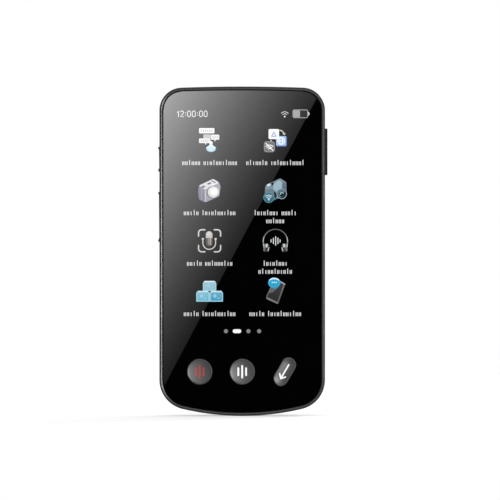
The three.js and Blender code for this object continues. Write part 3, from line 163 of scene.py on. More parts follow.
@dataclass(frozen=True)
class Finish:
    """A surface finish that paints itself as a node material.

    Attributes:
        name: What the finish is called.
        colour: Its linear base colour.
        roughness: How matt it is, from 0 to 1.
        grain: Which detail it has.
        pitch: The size of that detail in millimetres.
        relief: How deep the detail looks.
        spread: How far the colour wanders, as a share of itself.
        metallic: 1 for bare metal.
        coat: Weight of a clear coat.
        specular: Strength of the gloss.
    """

    name: str
    colour: Colour
    roughness: float = 0.5
    grain: Grain = Grain.MOULDED
    pitch: float = 0.25
    relief: float = 0.2
    spread: float = 0.12
    metallic: float = 0.0
    coat: float = 0.0
    specular: float = 0.5

    def material(self) -> bpy.types.Material:
        """The node material of this finish."""
        return painted(self.name, self._paint)

    def _paint(self, wires: Wiring, shader: bpy.types.Node) -> None:
        """Fills in the finish's nodes.

        Args:
            wires: The material's nodes.
            shader: The surface shader.
        """
        wires.fill(shader, {
            "Metallic": self.metallic, "Coat Weight": self.coat,
            "Coat Roughness": COAT_ROUGHNESS, "Specular IOR Level": self.specular,
        })
        place = wires.place()
        detail = self._detail(wires, place)
        broad = self._noise(wires, place, BLOTCH_PITCH, 3.0)
        mixed = wires.add("Mix", {0: BLOTCH_SHARE, 2: detail, 3: broad}).outputs[0]
        self._tint(wires, shader, mixed)
        self._matt(wires, shader, broad)
        self._bump(wires, shader, detail)

    def _noise(self, wires: Wiring, place: Socket, pitch: float, octaves: float) -> Socket:
        """Adds a noise pattern.

        Args:
            wires: The material's nodes.
            place: Where the pattern is read.
            pitch: The size of its grains in millimetres.
            octaves: How many finer layers it has.

        Returns:
            The pattern's output.
        """
        inputs = {"Vector": place, "Scale": 1.0 / (pitch * MM), "Detail": octaves}
        return wires.add("TexNoise", inputs).outputs[0]

    def _detail(self, wires: Wiring, place: Socket) -> Socket:
        """Adds the fine pattern that this finish's grain asks for.

        Args:
            wires: The material's nodes.
            place: Where the pattern is read.

        Returns:
            A value from 0 to 1.
        """
        if self.grain in BRUSH_STRETCH:
            stretch = {"Vector": place, "Scale": BRUSH_STRETCH[self.grain]}
            place = wires.add("Mapping", stretch).outputs["Vector"]
            return self._noise(wires, place, self.pitch, 4.0)
        if self.grain is Grain.WOVEN:
            return self._weave(wires, place)
        if self.grain in (Grain.PORES, Grain.CREASED):
            cells = wires.add("TexVoronoi", {"Vector": place, "Scale": 1.0 / (self.pitch * MM)})
            return cells.outputs["Distance"]
        if self.grain is Grain.TRACES:
            return self._traces(wires, place)
        return self._noise(wires, place, self.pitch, 5.0)

    def _weave(self, wires: Wiring, place: Socket) -> Socket:
        """Adds two crossed sets of threads.

        Args:
            wires: The material's nodes.
            place: Where the pattern is read.

        Returns:
            The threads' height.
        """
        inputs = {"Vector": place, "Scale": THREAD_SHARE / (self.pitch * MM)}
        waves = [wires.add("TexWave", inputs, bands_direction=way).outputs[0] for way in "XZ"]
        return wires.add("Math", dict(enumerate(waves)), operation="MAXIMUM").outputs[0]

    def _traces(self, wires: Wiring, place: Socket) -> Socket:
        """Adds the stepped lines of a circuit.

        Args:
            wires: The material's nodes.
            place: Where the pattern is read.

        Returns:
            A value that is high on the lines.
        """
        axes = wires.add("SeparateXYZ", {0: place}).outputs
        flat = wires.add("CombineXYZ", {"X": axes["X"], "Y": axes["Z"]}).outputs[0]
        inputs = {"Vector": flat, "Scale": 1.0 / (self.pitch * MM)}
        cells = wires.add("TexVoronoi", inputs, distance="CHEBYCHEV", feature="F1")
        inputs = {0: cells.outputs["Distance"], 1: TRACE_PITCH}
        bands = wires.add("Math", inputs, operation="PINGPONG").outputs[0]
        inputs = {"Value": bands, "From Min": TRACE_SPAN[0], "From Max": TRACE_SPAN[1]}
        return wires.add("MapRange", inputs).outputs[0]

    def _tint(self, wires: Wiring, shader: bpy.types.Node, pattern: Socket) -> None:
        """Lets the base colour wander with a pattern.

        Args:
            wires: The material's nodes.
            shader: The surface shader.
            pattern: A value from 0 to 1.
        """
        ramp = wires.add("ValToRGB", {0: pattern})
        low, high = ramp.color_ramp.elements
        low.position, high.position = PATTERN_SPAN
        low.color = (*[c * (1.0 - self.spread) for c in self.colour], 1.0)
        high.color = (*[min(c * (1.0 + self.spread), 1.0) for c in self.colour], 1.0)
        wires.fill(shader, {"Base Color": ramp.outputs[0]})

    def _matt(self, wires: Wiring, shader: bpy.types.Node, pattern: Socket) -> None:
        """Lets the roughness wander a little, as handling does.

        Args:
            wires: The material's nodes.
            shader: The surface shader.
            pattern: A value from 0 to 1.
        """
        low, high = PATTERN_SPAN
        least, most = (min(self.roughness * share, 1.0) for share in MATT_SHARES)
        spread = wires.add("MapRange", {
            "Value": pattern, "From Min": low, "From Max": high, "To Min": least, "To Max": most,
        })
        wires.fill(shader, {"Roughness": spread.outputs[0]})

    def _bump(self, wires: Wiring, shader: bpy.types.Node, pattern: Socket) -> None:
        """Raises the fine pattern a little.

        Args:
            wires: The material's nodes.
            shader: The surface shader.
            pattern: A value from 0 to 1.
        """
        if self.grain is Grain.SMOOTH:
            return
        bump = wires.add("Bump", {
            "Height": pattern, "Strength": self.relief, "Distance": self.pitch * MM * BUMP_SHARE,
        })
        wires.fill(shader, {"Normal": bump.outputs[0]})


@dataclass(frozen=True)
class Glow:
    """A lit colour of the screen, which shades from its top to its bottom.

    Attributes:
        name: What the colour is called.
        top: Its linear colour at the upper height.
        bottom: Its linear colour at the lower height.
        heights: The lower and upper height in millimetres.
    """

    name: str
    top: Colour
    bottom: Colour
    heights: Pair

    def material(self) -> bpy.types.Material:
        """The lit node material of this colour."""
        return painted(self.name, self._paint)

    def _paint(self, wires: Wiring, shader: bpy.types.Node) -> None:
        """Lights the surface by its height up the body.

        Args:
            wires: The material's nodes.
            shader: The surface shader.
        """
        wires.fill(shader, {
            "Base Color": (0.002, 0.002, 0.002, 1.0), "Roughness": 0.03, "Emission Strength": 1.0,
        })
        height = wires.add("SeparateXYZ", {0: wires.place()}).outputs["Z"]
        low, high = (level * MM for level in self.heights)
        share = wires.add("MapRange", {"Value": height, "From Min": low, "From Max": high})
        ramp = wires.add("ValToRGB", {0: share.outputs[0]})
        ramp.color_ramp.elements[0].color = (*self.bottom, 1.0)
        ramp.color_ramp.elements[1].color = (*self.top, 1.0)
        wires.fill(shader, {"Emission Color": ramp.outputs[0]})


RIM_PLASTIC = Finish("rim_plastic", (0.016, 0.0163, 0.017), 0.3, pitch=0.12, relief=0.08, specular=0.15)
# The rim's inner slope is the same plastic, a little glossier. Its lighter base colour is a painted highlight
# along the slope.
RIM_SLOPE_PAINTED_HIGHLIGHT = Finish("rim_slope_painted_highlight", (0.04, 0.04, 0.0415), 0.25, pitch=0.1, relief=0.05, specular=0.15)
DARK_PLASTIC = Finish("dark_plastic", (0.012, 0.012, 0.013), 0.42, pitch=0.15, relief=0.1)
BACK_PAINT = Finish("back_paint", (0.05, 0.0505, 0.053), 0.42, pitch=0.09, relief=0.16, spread=0.1)
BLACK_GLASS = Finish("black_glass", (0.0004, 0.0004, 0.0005), 0.012, Grain.SMOOTH, spread=0.3)
GLASS_EDGE = Finish(
    "ground_glass_edge", (0.001, 0.001, 0.0011), 0.6, pitch=0.08, relief=0.05, specular=0.2
)
CAMERA_GLASS = Finish("camera_glass", (0.002, 0.002, 0.003), 0.03, Grain.SMOOTH, spread=0.3)
KEY_PAINT = Finish("key_paint", (0.016, 0.0157, 0.0165), 0.36, pitch=0.08, relief=0.06, spread=0.08)
SIDE_KEY_PLASTIC = Finish(
    "side_key_plastic", (0.005, 0.005, 0.0055), 0.36, pitch=0.1, relief=0.08, specular=0.3
)
TRAY_EDGE = Finish("tray_edge", (0.006, 0.006, 0.0062), 0.7, pitch=0.1, relief=0.08, specular=0.15)
TRAY_METAL = Finish("tray_metal", (0.4, 0.41, 0.42), 0.36, Grain.BRUSHED_UP, 0.06, 0.12, 0.1, 1.0)
BEZEL_METAL = Finish("bezel_metal", (0.36, 0.36, 0.37), 0.28, pitch=0.05, relief=0.05, metallic=1.0)
LENS_RING = Finish("lens_ring", (0.09, 0.09, 0.095), 0.32, pitch=0.05, relief=0.05, metallic=1.0)
STEEL = Finish("spring_steel", (0.5, 0.51, 0.53), 0.3, Grain.BRUSHED_ACROSS, 0.08, 0.15, 0.1, 1.0)
TINPLATE = Finish("tinplate", (0.55, 0.56, 0.57), 0.35, Grain.BRUSHED_UP, 0.1, 0.15, 0.1, 1.0)
CHASSIS_METAL = Finish("chassis_metal", (0.36, 0.37, 0.39), 0.42, pitch=0.3, relief=0.2, metallic=1.0)
GOLD = Finish("gold_plate", (0.85, 0.6, 0.22), 0.25, pitch=0.1, relief=0.05, metallic=1.0)
SILICONE = Finish("silicone", (0.008, 0.008, 0.009), 0.7, pitch=0.2, relief=0.15, specular=0.2)
FOAM = Finish("foam", (0.014, 0.014, 0.015), 0.95, Grain.PORES, 0.25, 0.8, 0.4)
MESH_CLOTH = Finish("mesh_cloth", (0.01, 0.01, 0.011), 0.7, Grain.WOVEN, 0.16, 0.9, 0.6)
SOLDER_MASK = Finish("solder_mask", (0.008, 0.075, 0.028), 0.35, Grain.TRACES, 1.6, 0.25, 0.55)
RIBBON_FILM = Finish("ribbon_film", (0.32, 0.13, 0.02), 0.4, Grain.BRUSHED_UP, 0.35, 0.2, 0.35)
POUCH = Finish("battery_pouch", (0.03, 0.032, 0.038), 0.38, Grain.CREASED, 6.0, 0.25, 0.2, 0.3)
PANEL_GLASS = Finish("panel_glass", (0.006, 0.006, 0.008), 0.08, Grain.SMOOTH, spread=0.2)
LIGHT_FILM = Finish("light_film", (0.62, 0.64, 0.66), 0.4, Grain.PORES, 0.4, 0.1, 0.04)
PHOSPHOR = Finish("phosphor", (0.8, 0.68, 0.25), 0.5, Grain.PORES, 0.12, 0.3, 0.1)
CLEAR_LENS = Finish("flash_lens", (0.17, 0.165, 0.15), 0.12, Grain.PORES, 0.3, 0.3, 0.1, coat=1.0)
CAMERA_LENS = Finish("camera_lens", (0.004, 0.005, 0.014), 0.02, Grain.SMOOTH, spread=0.5, coat=1.0)
PRINT_RED = Finish("print_red", (0.24, 0.008, 0.008), 0.4, pitch=0.06, relief=0.05, specular=0.3)
PRINT_WHITE = Finish("print_white", (0.62, 0.62, 0.62), 0.4, pitch=0.06, relief=0.05)
PALE_FLOOR = Finish(
    "pale_floor", (0.86, 0.86, 0.86), 0.8, pitch=4.0, relief=0.02, spread=0.01, specular=0.1
)


def arc(
    x: float, y: float, radius: float, start: float, end: float, facets: int
) -> Outline:
    """Points along an arc, both ends included.

    Args:
        x: The centre, across.
        y: The centre, up.
        radius: The arc's radius.
        start: The first angle in degrees.
        end: The last angle in degrees.
        facets: How many straight pieces it has.

    Returns:
        The points.
    """
    angles = [math.radians(start + (end - start) * i / facets) for i in range(facets + 1)]
    return [(x + radius * math.cos(a), y + radius * math.sin(a)) for a in angles]


def circle(radius: float, facets: int = 64, x: float = 0.0, y: float = 0.0) -> Outline:
    """Points round a circle.

    Args:
        radius: The circle's radius.
        facets: How many points it has.
        x: The centre, across.
        y: The centre, up.

    Returns:
        The points, anticlockwise.
    """
    return arc(x, y, radius, 0.0, 360.0, facets)[:-1]


def rounded(
    width: float, height: float, radius: float, x: float = 0.0, y: float = 0.0, facets: int = 8
) -> Outline:
    """A rectangle with round corners.

    Args:
        width: Its size across.
        height: Its size up.
        radius: The corners' radius.
        x: The centre, across.
        y: The centre, up.
        facets: Straight pieces in each corner.

    Returns:
        The points, anticlockwise.
    """
    w, h = width / 2 - radius, height / 2 - radius
    points: Outline = []
    for i, (sx, sy) in enumerate(((1, 1), (-1, 1), (-1, -1), (1, -1))):
        points += arc(x + sx * w, y + sy * h, radius, 90.0 * i, 90.0 * (i + 1), facets)
    return points


def line(start: Pair, end: Pair, steps: int) -> Outline:
    """Points along a straight line, both ends included.

    Args:
        start: The first point.
        end: The last point.
        steps: How many pieces the line is cut into.

    Returns:
        The points.
    """
    (ax, ay), (bx, by) = start, end
    return [(ax + (bx - ax) * k / steps, ay + (by - ay) * k / steps) for k in range(steps + 1)]


def stadium(length: float, width: float, facets: int = 24, straight: int = 1) -> Outline:
    """A slot with round ends, its long way up.

    Args:
        length: Its size from end to end.
        width: Its size across.
        facets: Straight pieces in each round end.
        straight: Pieces along each straight side.

    Returns:
        The points, anticlockwise.
    """
    radius, reach = width / 2, length / 2 - width / 2
    points = arc(0.0, reach, radius, 0.0, 180.0, facets)
    points += [(-radius, reach - 2 * reach * i / straight) for i in range(1, straight)]
    points += arc(0.0, -reach, radius, 180.0, 360.0, facets)
    points += [(radius, -reach + 2 * reach * i / straight) for i in range(1, straight)]
    return points


def turned(outline: Outline, degrees: float) -> Outline:
    """An outline turned about its own origin.

    Args:
        outline: The points.
        degrees: How far it turns, anticlockwise.

    Returns:
        The turned points.
    """
    c, s = math.cos(math.radians(degrees)), math.sin(math.radians(degrees))
    return [(c * x - s * y, s * x + c * y) for x, y in outline]


def shifted(outline: Outline, x: float, y: float) -> Outline:
    """An outline moved across by x and up by y."""
    return [(px + x, py + y) for px, py in outline]


def swollen(outline: Outline, border: float) -> Outline:
    """An outline whose points are moved away from its middle.

    Args:
        outline: The points.
        border: How far they move out, or in where it is below zero.

    Returns:
        The moved points.
    """
    cx = sum(x for x, _ in outline) / len(outline)
    cy = sum(y for _, y in outline) / len(outline)
    moved: Outline = []
    for x, y in outline:
        share = max(1.0 + border / max(math.hypot(x - cx, y - cy), 1e-6), 0.0)
        moved.append((cx + (x - cx) * share, cy + (y - cy) * share))
    return moved


def rounding(size: float, angles: Sequence[float]) -> Outline:
    """The steps of a rounded edge from its side to its face.

    Args:
        size: The edge's radius.
        angles: Where the steps lie, in radians from the side.

    Returns:
        How far each step lies in from the side and below the face.
    """
    return [(size * (1 - math.cos(a)), size * (1 - math.sin(a))) for a in angles]


def quarter(size: float, facets: int) -> Outline:
    """The even steps of a rounded edge, as rounding gives them."""
    return rounding(size, [math.pi / 2 * i / facets for i in range(1, facets + 1)])


def placed(outline: Outline, place: Placer, level: float) -> Ring:
    """An outline's points put in their place at one level."""
    return [place(x, y, level) for x, y in outline]


def soften(outline: Outline, radius: float, facets: int = 5) -> Outline:
    """A polygon with its corners rounded.

    Args:
        outline: The polygon's corners.
        radius: How far from a corner its rounding starts.
        facets: Straight pieces in each corner.

    Returns:
        The points.
    """
    points: Outline = []
    for i, (x, y) in enumerate(outline):
        ends = []
        for px, py in (outline[i - 1], outline[(i + 1) % len(outline)]):
            share = min(radius / max(math.hypot(px - x, py - y), 1e-6), 0.45)
            ends.append((x + (px - x) * share, y + (py - y) * share))
        (ax, ay), (bx, by) = ends
        for k in range(facets + 1):
            t = k / facets
            near, middle, far = (1 - t) ** 2, 2 * t * (1 - t), t * t
            points.append((near * ax + middle * x + far * bx, near * ay + middle * y + far * by))
    return points


def linked(name: str, data: bpy.types.ID) -> bpy.types.Object:
    """Makes an object of some data and links it to the scene."""
    made = bpy.data.objects.new(name, data)
    bpy.context.scene.collection.objects.link(made)
    return made


class Builder:
    """Collects rings and faces in millimetres and makes an object of them."""

    def __init__(self) -> None:
        """Starts with nothing in it."""
        self.points: list[Vector] = []
        self.faces: list[list[int]] = []
        self.slots: list[int] = []

    def ring(self, points: Sequence[Vector]) -> list[int]:
        """Adds points.

        Args:
            points: The places of the points.

        Returns:
            Their numbers.
        """
        first = len(self.points)
        self.points += [Vector(p) for p in points]
        return list(range(first, len(self.points)))

    def face(self, corners: Sequence[int], slot: int = 0) -> None:
        """Adds one face over numbered points, in a material slot."""
        self.faces.append(list(corners))
        self.slots.append(slot)

    def bridge(self, first: Sequence[int], second: Sequence[int], slot: int = 0) -> None:
        """Joins two rings of equal length with a band of faces.

        Args:
            first: One ring.
            second: The other ring.
            slot: The band's material slot.
        """
        count = len(first)
        for i in range(count):
            j = (i + 1) % count
            self.face((first[i], first[j], second[j], second[i]), slot)

    def strip(self, first: Sequence[int], second: Sequence[int], slot: int = 0) -> None:
        """Joins two open rows of equal length with a band of faces.

        Args:
            first: One row.
            second: The other row.
            slot: The band's material slot.
        """
        for i in range(len(first) - 1):
            self.face((first[i], first[i + 1], second[i + 1], second[i]), slot)

    def loft(
        self,
        rings: Sequence[Sequence[Vector]],
        slot: int = 0,
        loop: bool = False,
        slots: Sequence[int] | None = None,
    ) -> None:
        """Joins rings in order, and closes the ends unless they loop.

        Args:
            rings: The rings, of equal length.
            slot: The material slot of the whole.
            loop: True if the last ring joins the first.
            slots: A slot for each band, in place of one for all.
        """
        numbers = [self.ring(r) for r in rings]
        for i in range(len(numbers) - 1):
            self.bridge(numbers[i], numbers[i + 1], slots[i] if slots else slot)
        if loop:
            self.bridge(numbers[-1], numbers[0], slots[-1] if slots else slot)
        else:
            self.face(numbers[0], slots[0] if slots else slot)
            self.face(numbers[-1], slots[-1] if slots else slot)

    def prism(
        self, outline: Outline, place: Placer, low: float, high: float,
        slot: int = 0, bevel: float = 0.0,
    ) -> None:
        """Makes an outline thick, with an optional rounded upper edge.

        Args:
            outline: The points, drawn flat.
            place: Turns a flat point and a height into a place.
            low: The lower height.
            high: The upper height.
            slot: The material slot.
            bevel: The size of the rounded edge.
        """
        steps = [(0.0, low), (0.0, high - bevel)]
        if bevel:
            steps += [(inset, high - drop) for inset, drop in quarter(bevel, 4)]
        self.loft([placed(swollen(outline, -inset), place, z) for inset, z in steps], slot)

    def make(
        self, name: str, finishes: Sequence[Finish | Glow], crease: float = CREASE
    ) -> bpy.types.Object:
        """Makes the object, in metres, with smooth shading up to a crease.

        Args:
            name: The object's name.
            finishes: Its finishes, in the order of the slots.
            crease: The angle in degrees from which an edge is sharp.

        Returns:
            The new object.
        """
        mesh = bpy.data.meshes.new(name)
        mesh.from_pydata([p * MM for p in self.points], [], self.faces)
        for polygon, slot in zip(mesh.polygons, self.slots):
            polygon.material_index = slot
        made = linked(name, mesh)
        for finish in finishes:
            mesh.materials.append(finish.material())
        settle(made, crease)
        return made


def settle(target: bpy.types.Object, crease: float) -> None:
    """Turns the faces outwards and sets smooth shading up to a crease.

    Args:
        target: The object.
        crease: The angle in degrees from which an edge is sharp.
    """
    work = bmesh.new()
    work.from_mesh(target.data)
    bmesh.ops.remove_doubles(work, verts=work.verts, dist=1e-7)
    bmesh.ops.recalc_face_normals(work, faces=work.faces)
    work.to_mesh(target.data)
    work.free()
    target.data.polygons.foreach_set("use_smooth", [True] * len(target.data.polygons))
    target.data.set_sharp_from_angle(angle=math.radians(crease))
    target.data.update()


def weigh(target: bpy.types.Object) -> None:
    """Shades large flat faces flat, by weighing normals by face size."""
    modifier = target.modifiers.new("weighted_normal", "WEIGHTED_NORMAL")
    modifier.keep_sharp = True
    modifier.weight = 100


def carve(
    target: bpy.types.Object, cutters: Sequence[bpy.types.Object], crease: float
) -> None:
    """Cuts objects out of a target and removes them.

    Args:
        target: The object that is cut.
        cutters: The objects that are taken away.
        crease: The angle in degrees from which an edge is sharp.
    """
    for cutter in cutters:
        modifier = target.modifiers.new("cut", "BOOLEAN")
        modifier.operation = "DIFFERENCE"
        modifier.solver = "EXACT"
        modifier.object = cutter
    bpy.context.view_layer.update()
    graph = bpy.context.evaluated_depsgraph_get()
    mesh = bpy.data.meshes.new_from_object(target.evaluated_get(graph))
    target.modifiers.clear()
    target.data = mesh
    for cutter in cutters:
        bpy.data.objects.remove(cutter)
    settle(target, crease)


def seat(made: bpy.types.Object, body: str, slot: str, *nodes: str) -> bpy.types.Object:
    """Sets what a piece rides on and hides the nodes it stands for.

    Args:
        made: The piece.
        body: The body it moves with.
        slot: The record's material slot; not used.
        *nodes: The nodes it replaces.

    Returns:
        The same piece.
    """
    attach(made, body)
    if nodes:
        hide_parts(*nodes)
    LOG.info("built %s", made.name)
    return made


def facing_front(depth: float) -> Placer:
    """Places a flat drawing on the front, its height towards the viewer.

    Args:
        depth: How far behind the glass face the height 0 lies.

    Returns:
        The function that places a point.
    """
    return lambda x, y, level: Vector((x, depth - Slab.depth - level, y))


def facing_back(x: float, y: float, level: float) -> Vector:
    """Places a point of a flat drawing on the back, its level out of the back."""
    return Vector((x, level, y))


def along_up(depth: float) -> Placer:
    """Places a drawing across the body, its height up along the body.

    Args:
        depth: How far behind the glass face the drawing's middle lies.

    Returns:
        The function that places a point.
    """
    return lambda x, y, level: Vector((x, depth - Slab.depth + y, level))


def along_side(depth: float, height: float, sign: float) -> Placer:
    """Places a drawing on a side of the body, its height out of that side.

    Args:
        depth: How far behind the glass face the drawing's middle lies.
        height: The drawing's middle, up the body.
        sign: 1 for the right side and -1 for the left.

    Returns:
        The function that places a point.
    """
    return lambda x, y, level: Vector((sign * level, depth - Slab.depth + x, height + y))


@dataclass(frozen=True)
class Slab:
    """The body's outline: two long arcs, two straight sides and four corners."""

    width: float = 74.4
    length: float = 148.0
    depth: float = 13.5
    top_arc: float = 750.0
    bottom_arc: float = 117.0
    top_corner: float = 10.2
    bottom_corner: float = 13.4
    least_corner: float = 0.4
    corner_facets: int = 28
    arc_facets: int = 24

    def _corner(self, arc_radius: float, corner_radius: float, inset: float) -> Triple:
        """Where a corner meets its long arc.

        Args:
            arc_radius: The long arc's radius.
            corner_radius: The corner's radius on the outside.
            inset: How far the outline is drawn in.

        Returns:
            The corner's radius, its centre across and its centre along.
        """
        radius = max(corner_radius - inset, self.least_corner)
        reach = arc_radius - inset - radius
        across = self.width / 2 - inset - radius
        return radius, across, math.sqrt(reach * reach - across * across)

    def ring(self, inset: float, depth: float) -> Ring:
        """The outline drawn in by an inset, at a depth behind the glass.

        Args:
            inset: How far it is drawn in.
            depth: How far behind the glass face it lies.

        Returns:
            The points, anticlockwise from the front.
        """
        top_r, top_x, top_z = self._corner(self.top_arc, self.top_corner, inset)
        low_r, low_x, low_z = self._corner(self.bottom_arc, self.bottom_corner, inset)
        top_turn = math.degrees(math.atan2(top_x, top_z))
        low_turn = math.degrees(math.atan2(low_x, low_z))
        top_c = self.length / 2 - self.top_arc
        low_c = -self.length / 2 + self.bottom_arc
        bends, steps = self.corner_facets, self.arc_facets
        flat = arc(0.0, low_c, self.bottom_arc - inset, 270 - low_turn, 270 + low_turn, steps)[:-1]
        flat += arc(low_x, low_c - low_z, low_r, 270 + low_turn, 360.0, bends)
        flat += arc(top_x, top_c + top_z, top_r, 0.0, 90 - top_turn, bends)[:-1]
        flat += arc(0.0, top_c, self.top_arc - inset, 90 - top_turn, 90 + top_turn, steps)[:-1]
        flat += arc(-top_x, top_c + top_z, top_r, 90 + top_turn, 180.0, bends)
        flat += arc(-low_x, low_c - low_z, low_r, 180.0, 270 - low_turn, bends)[:-1]
        return [Vector((x, depth - self.depth, z)) for x, z in flat]

    def top_edge(self, x: float) -> float:
        """The height of the top edge at a place across."""
        return self.length / 2 - self.top_arc + math.sqrt(self.top_arc**2 - x * x)


SLAB = Slab()


@dataclass
class FrontFrame:
    """The rim round the glass, with its ledge and locating lip."""

    rim_depth: float = 0.15
    rim_width: float = 1.3
    round_width: float = 0.75
    round_depth: float = 1.0
    slope_width: float = 0.5
    slope_depth: float = 0.12
    back_depth: float = 4.0
    ledge_depth: float = 1.0
    ledge_back: float = 1.9
    ledge_reach: float = 4.2
    wall: float = 2.5
    lip_wall: float = 0.9
    lip_end: float = 4.6
    facets: int = 10
    back_edge: float = 0.12
    inner_edge: float = 0.05
    soft: float = 0.03

    def profile(self) -> Outline:
        """The moulding's section as inset and depth.

        Returns:
            The points round the section.
        """
        back, slope_end = self.back_depth, self.rim_depth + self.slope_depth
        points = [(self.wall - self.lip_wall, back), (self.back_edge, back)]
        points += [(self.soft, back - self.soft), (0.0, back - self.back_edge)]
        points.append((0.0, self.rim_depth + self.round_depth))
        for inset, drop in quarter(1.0, self.facets):
            points.append((self.round_width * inset, self.rim_depth + self.round_depth * drop))
        points += [
            (self.rim_width - self.slope_width, self.rim_depth),
            (self.rim_width - self.soft, slope_end),
            (self.rim_width, slope_end + self.inner_edge),
            (self.rim_width, self.ledge_depth),
            (self.ledge_reach, self.ledge_depth),
            (self.ledge_reach, self.ledge_back),
            (self.wall, self.ledge_back),
            (self.wall, self.lip_end),
            (self.wall - self.lip_wall, self.lip_end),
        ]
        return points

    def build(self) -> None:
        """Builds the moulding as one closed ring."""
        shape = Builder()
        profile = self.profile()
        slots = [0] * len(profile)
        # The inner slope's two bands take the lighter finish, which is a painted highlight on the rim.
        bright = 4 + self.facets
        slots[bright] = slots[bright + 1] = 1
        shape.loft([SLAB.ring(i, d) for i, d in profile], loop=True, slots=slots)
        made = shape.make("front_frame_moulding", [RIM_PLASTIC, RIM_SLOPE_PAINTED_HIGHLIGHT], crease=40.0)
        seat(made, HOUSING, "frame_plastic", "front_frame")


@dataclass
class CoverGlass:
    """The black-backed glass, with a hole for each key."""

    inset: float = 1.36
    thickness: float = 0.8
    bevel: float = 0.25
    support: float = 0.4
    facets: int = 6
    key_fit: float = 0.25
    well_edge: float = 0.12
    well_above: float = 0.3
    well_depth: float = 2.0

    def rings(self) -> list[Ring]:
        """The plate's rings from its back to its face.

        Returns:
            The rings.
        """
        rings = [SLAB.ring(self.inset, self.thickness), SLAB.ring(self.inset, self.bevel)]
        for inset, drop in quarter(self.bevel, self.facets):
            rings.append(SLAB.ring(self.inset + inset, drop))
        rings.append(SLAB.ring(self.inset + self.bevel + self.support, 0.0))
        return rings

    def build(self, keys: "FrontKeys") -> None:
        """Builds the glass and cuts the holes.

        Args:
            keys: The keys that pass through it.
        """
        plate = Builder()
        plate.loft(self.rings(), slots=[1] * (self.facets + 1) + [0])
        made = plate.make("front_glass", [BLACK_GLASS, GLASS_EDGE])
        narrow, wide = keys.outlines(self.key_fit), keys.outlines(self.key_fit + self.well_edge)
        place, cutters = facing_front(0.0), []
        for index, (inner, outer) in enumerate(zip(narrow, wide)):
            well = Builder()
            steps = ((outer, self.well_above), (outer, 0.0), (inner, -self.well_edge))
            steps += ((inner, -self.well_depth),)
            well.loft([placed(outline, place, level) for outline, level in steps])
            cutters.append(well.make(f"key_well_cutter_{index}", [BLACK_GLASS]))
        carve(made, cutters, crease=25.0)
        weigh(made)
        seat(made, HOUSING, "cover_glass", "cover_glass")


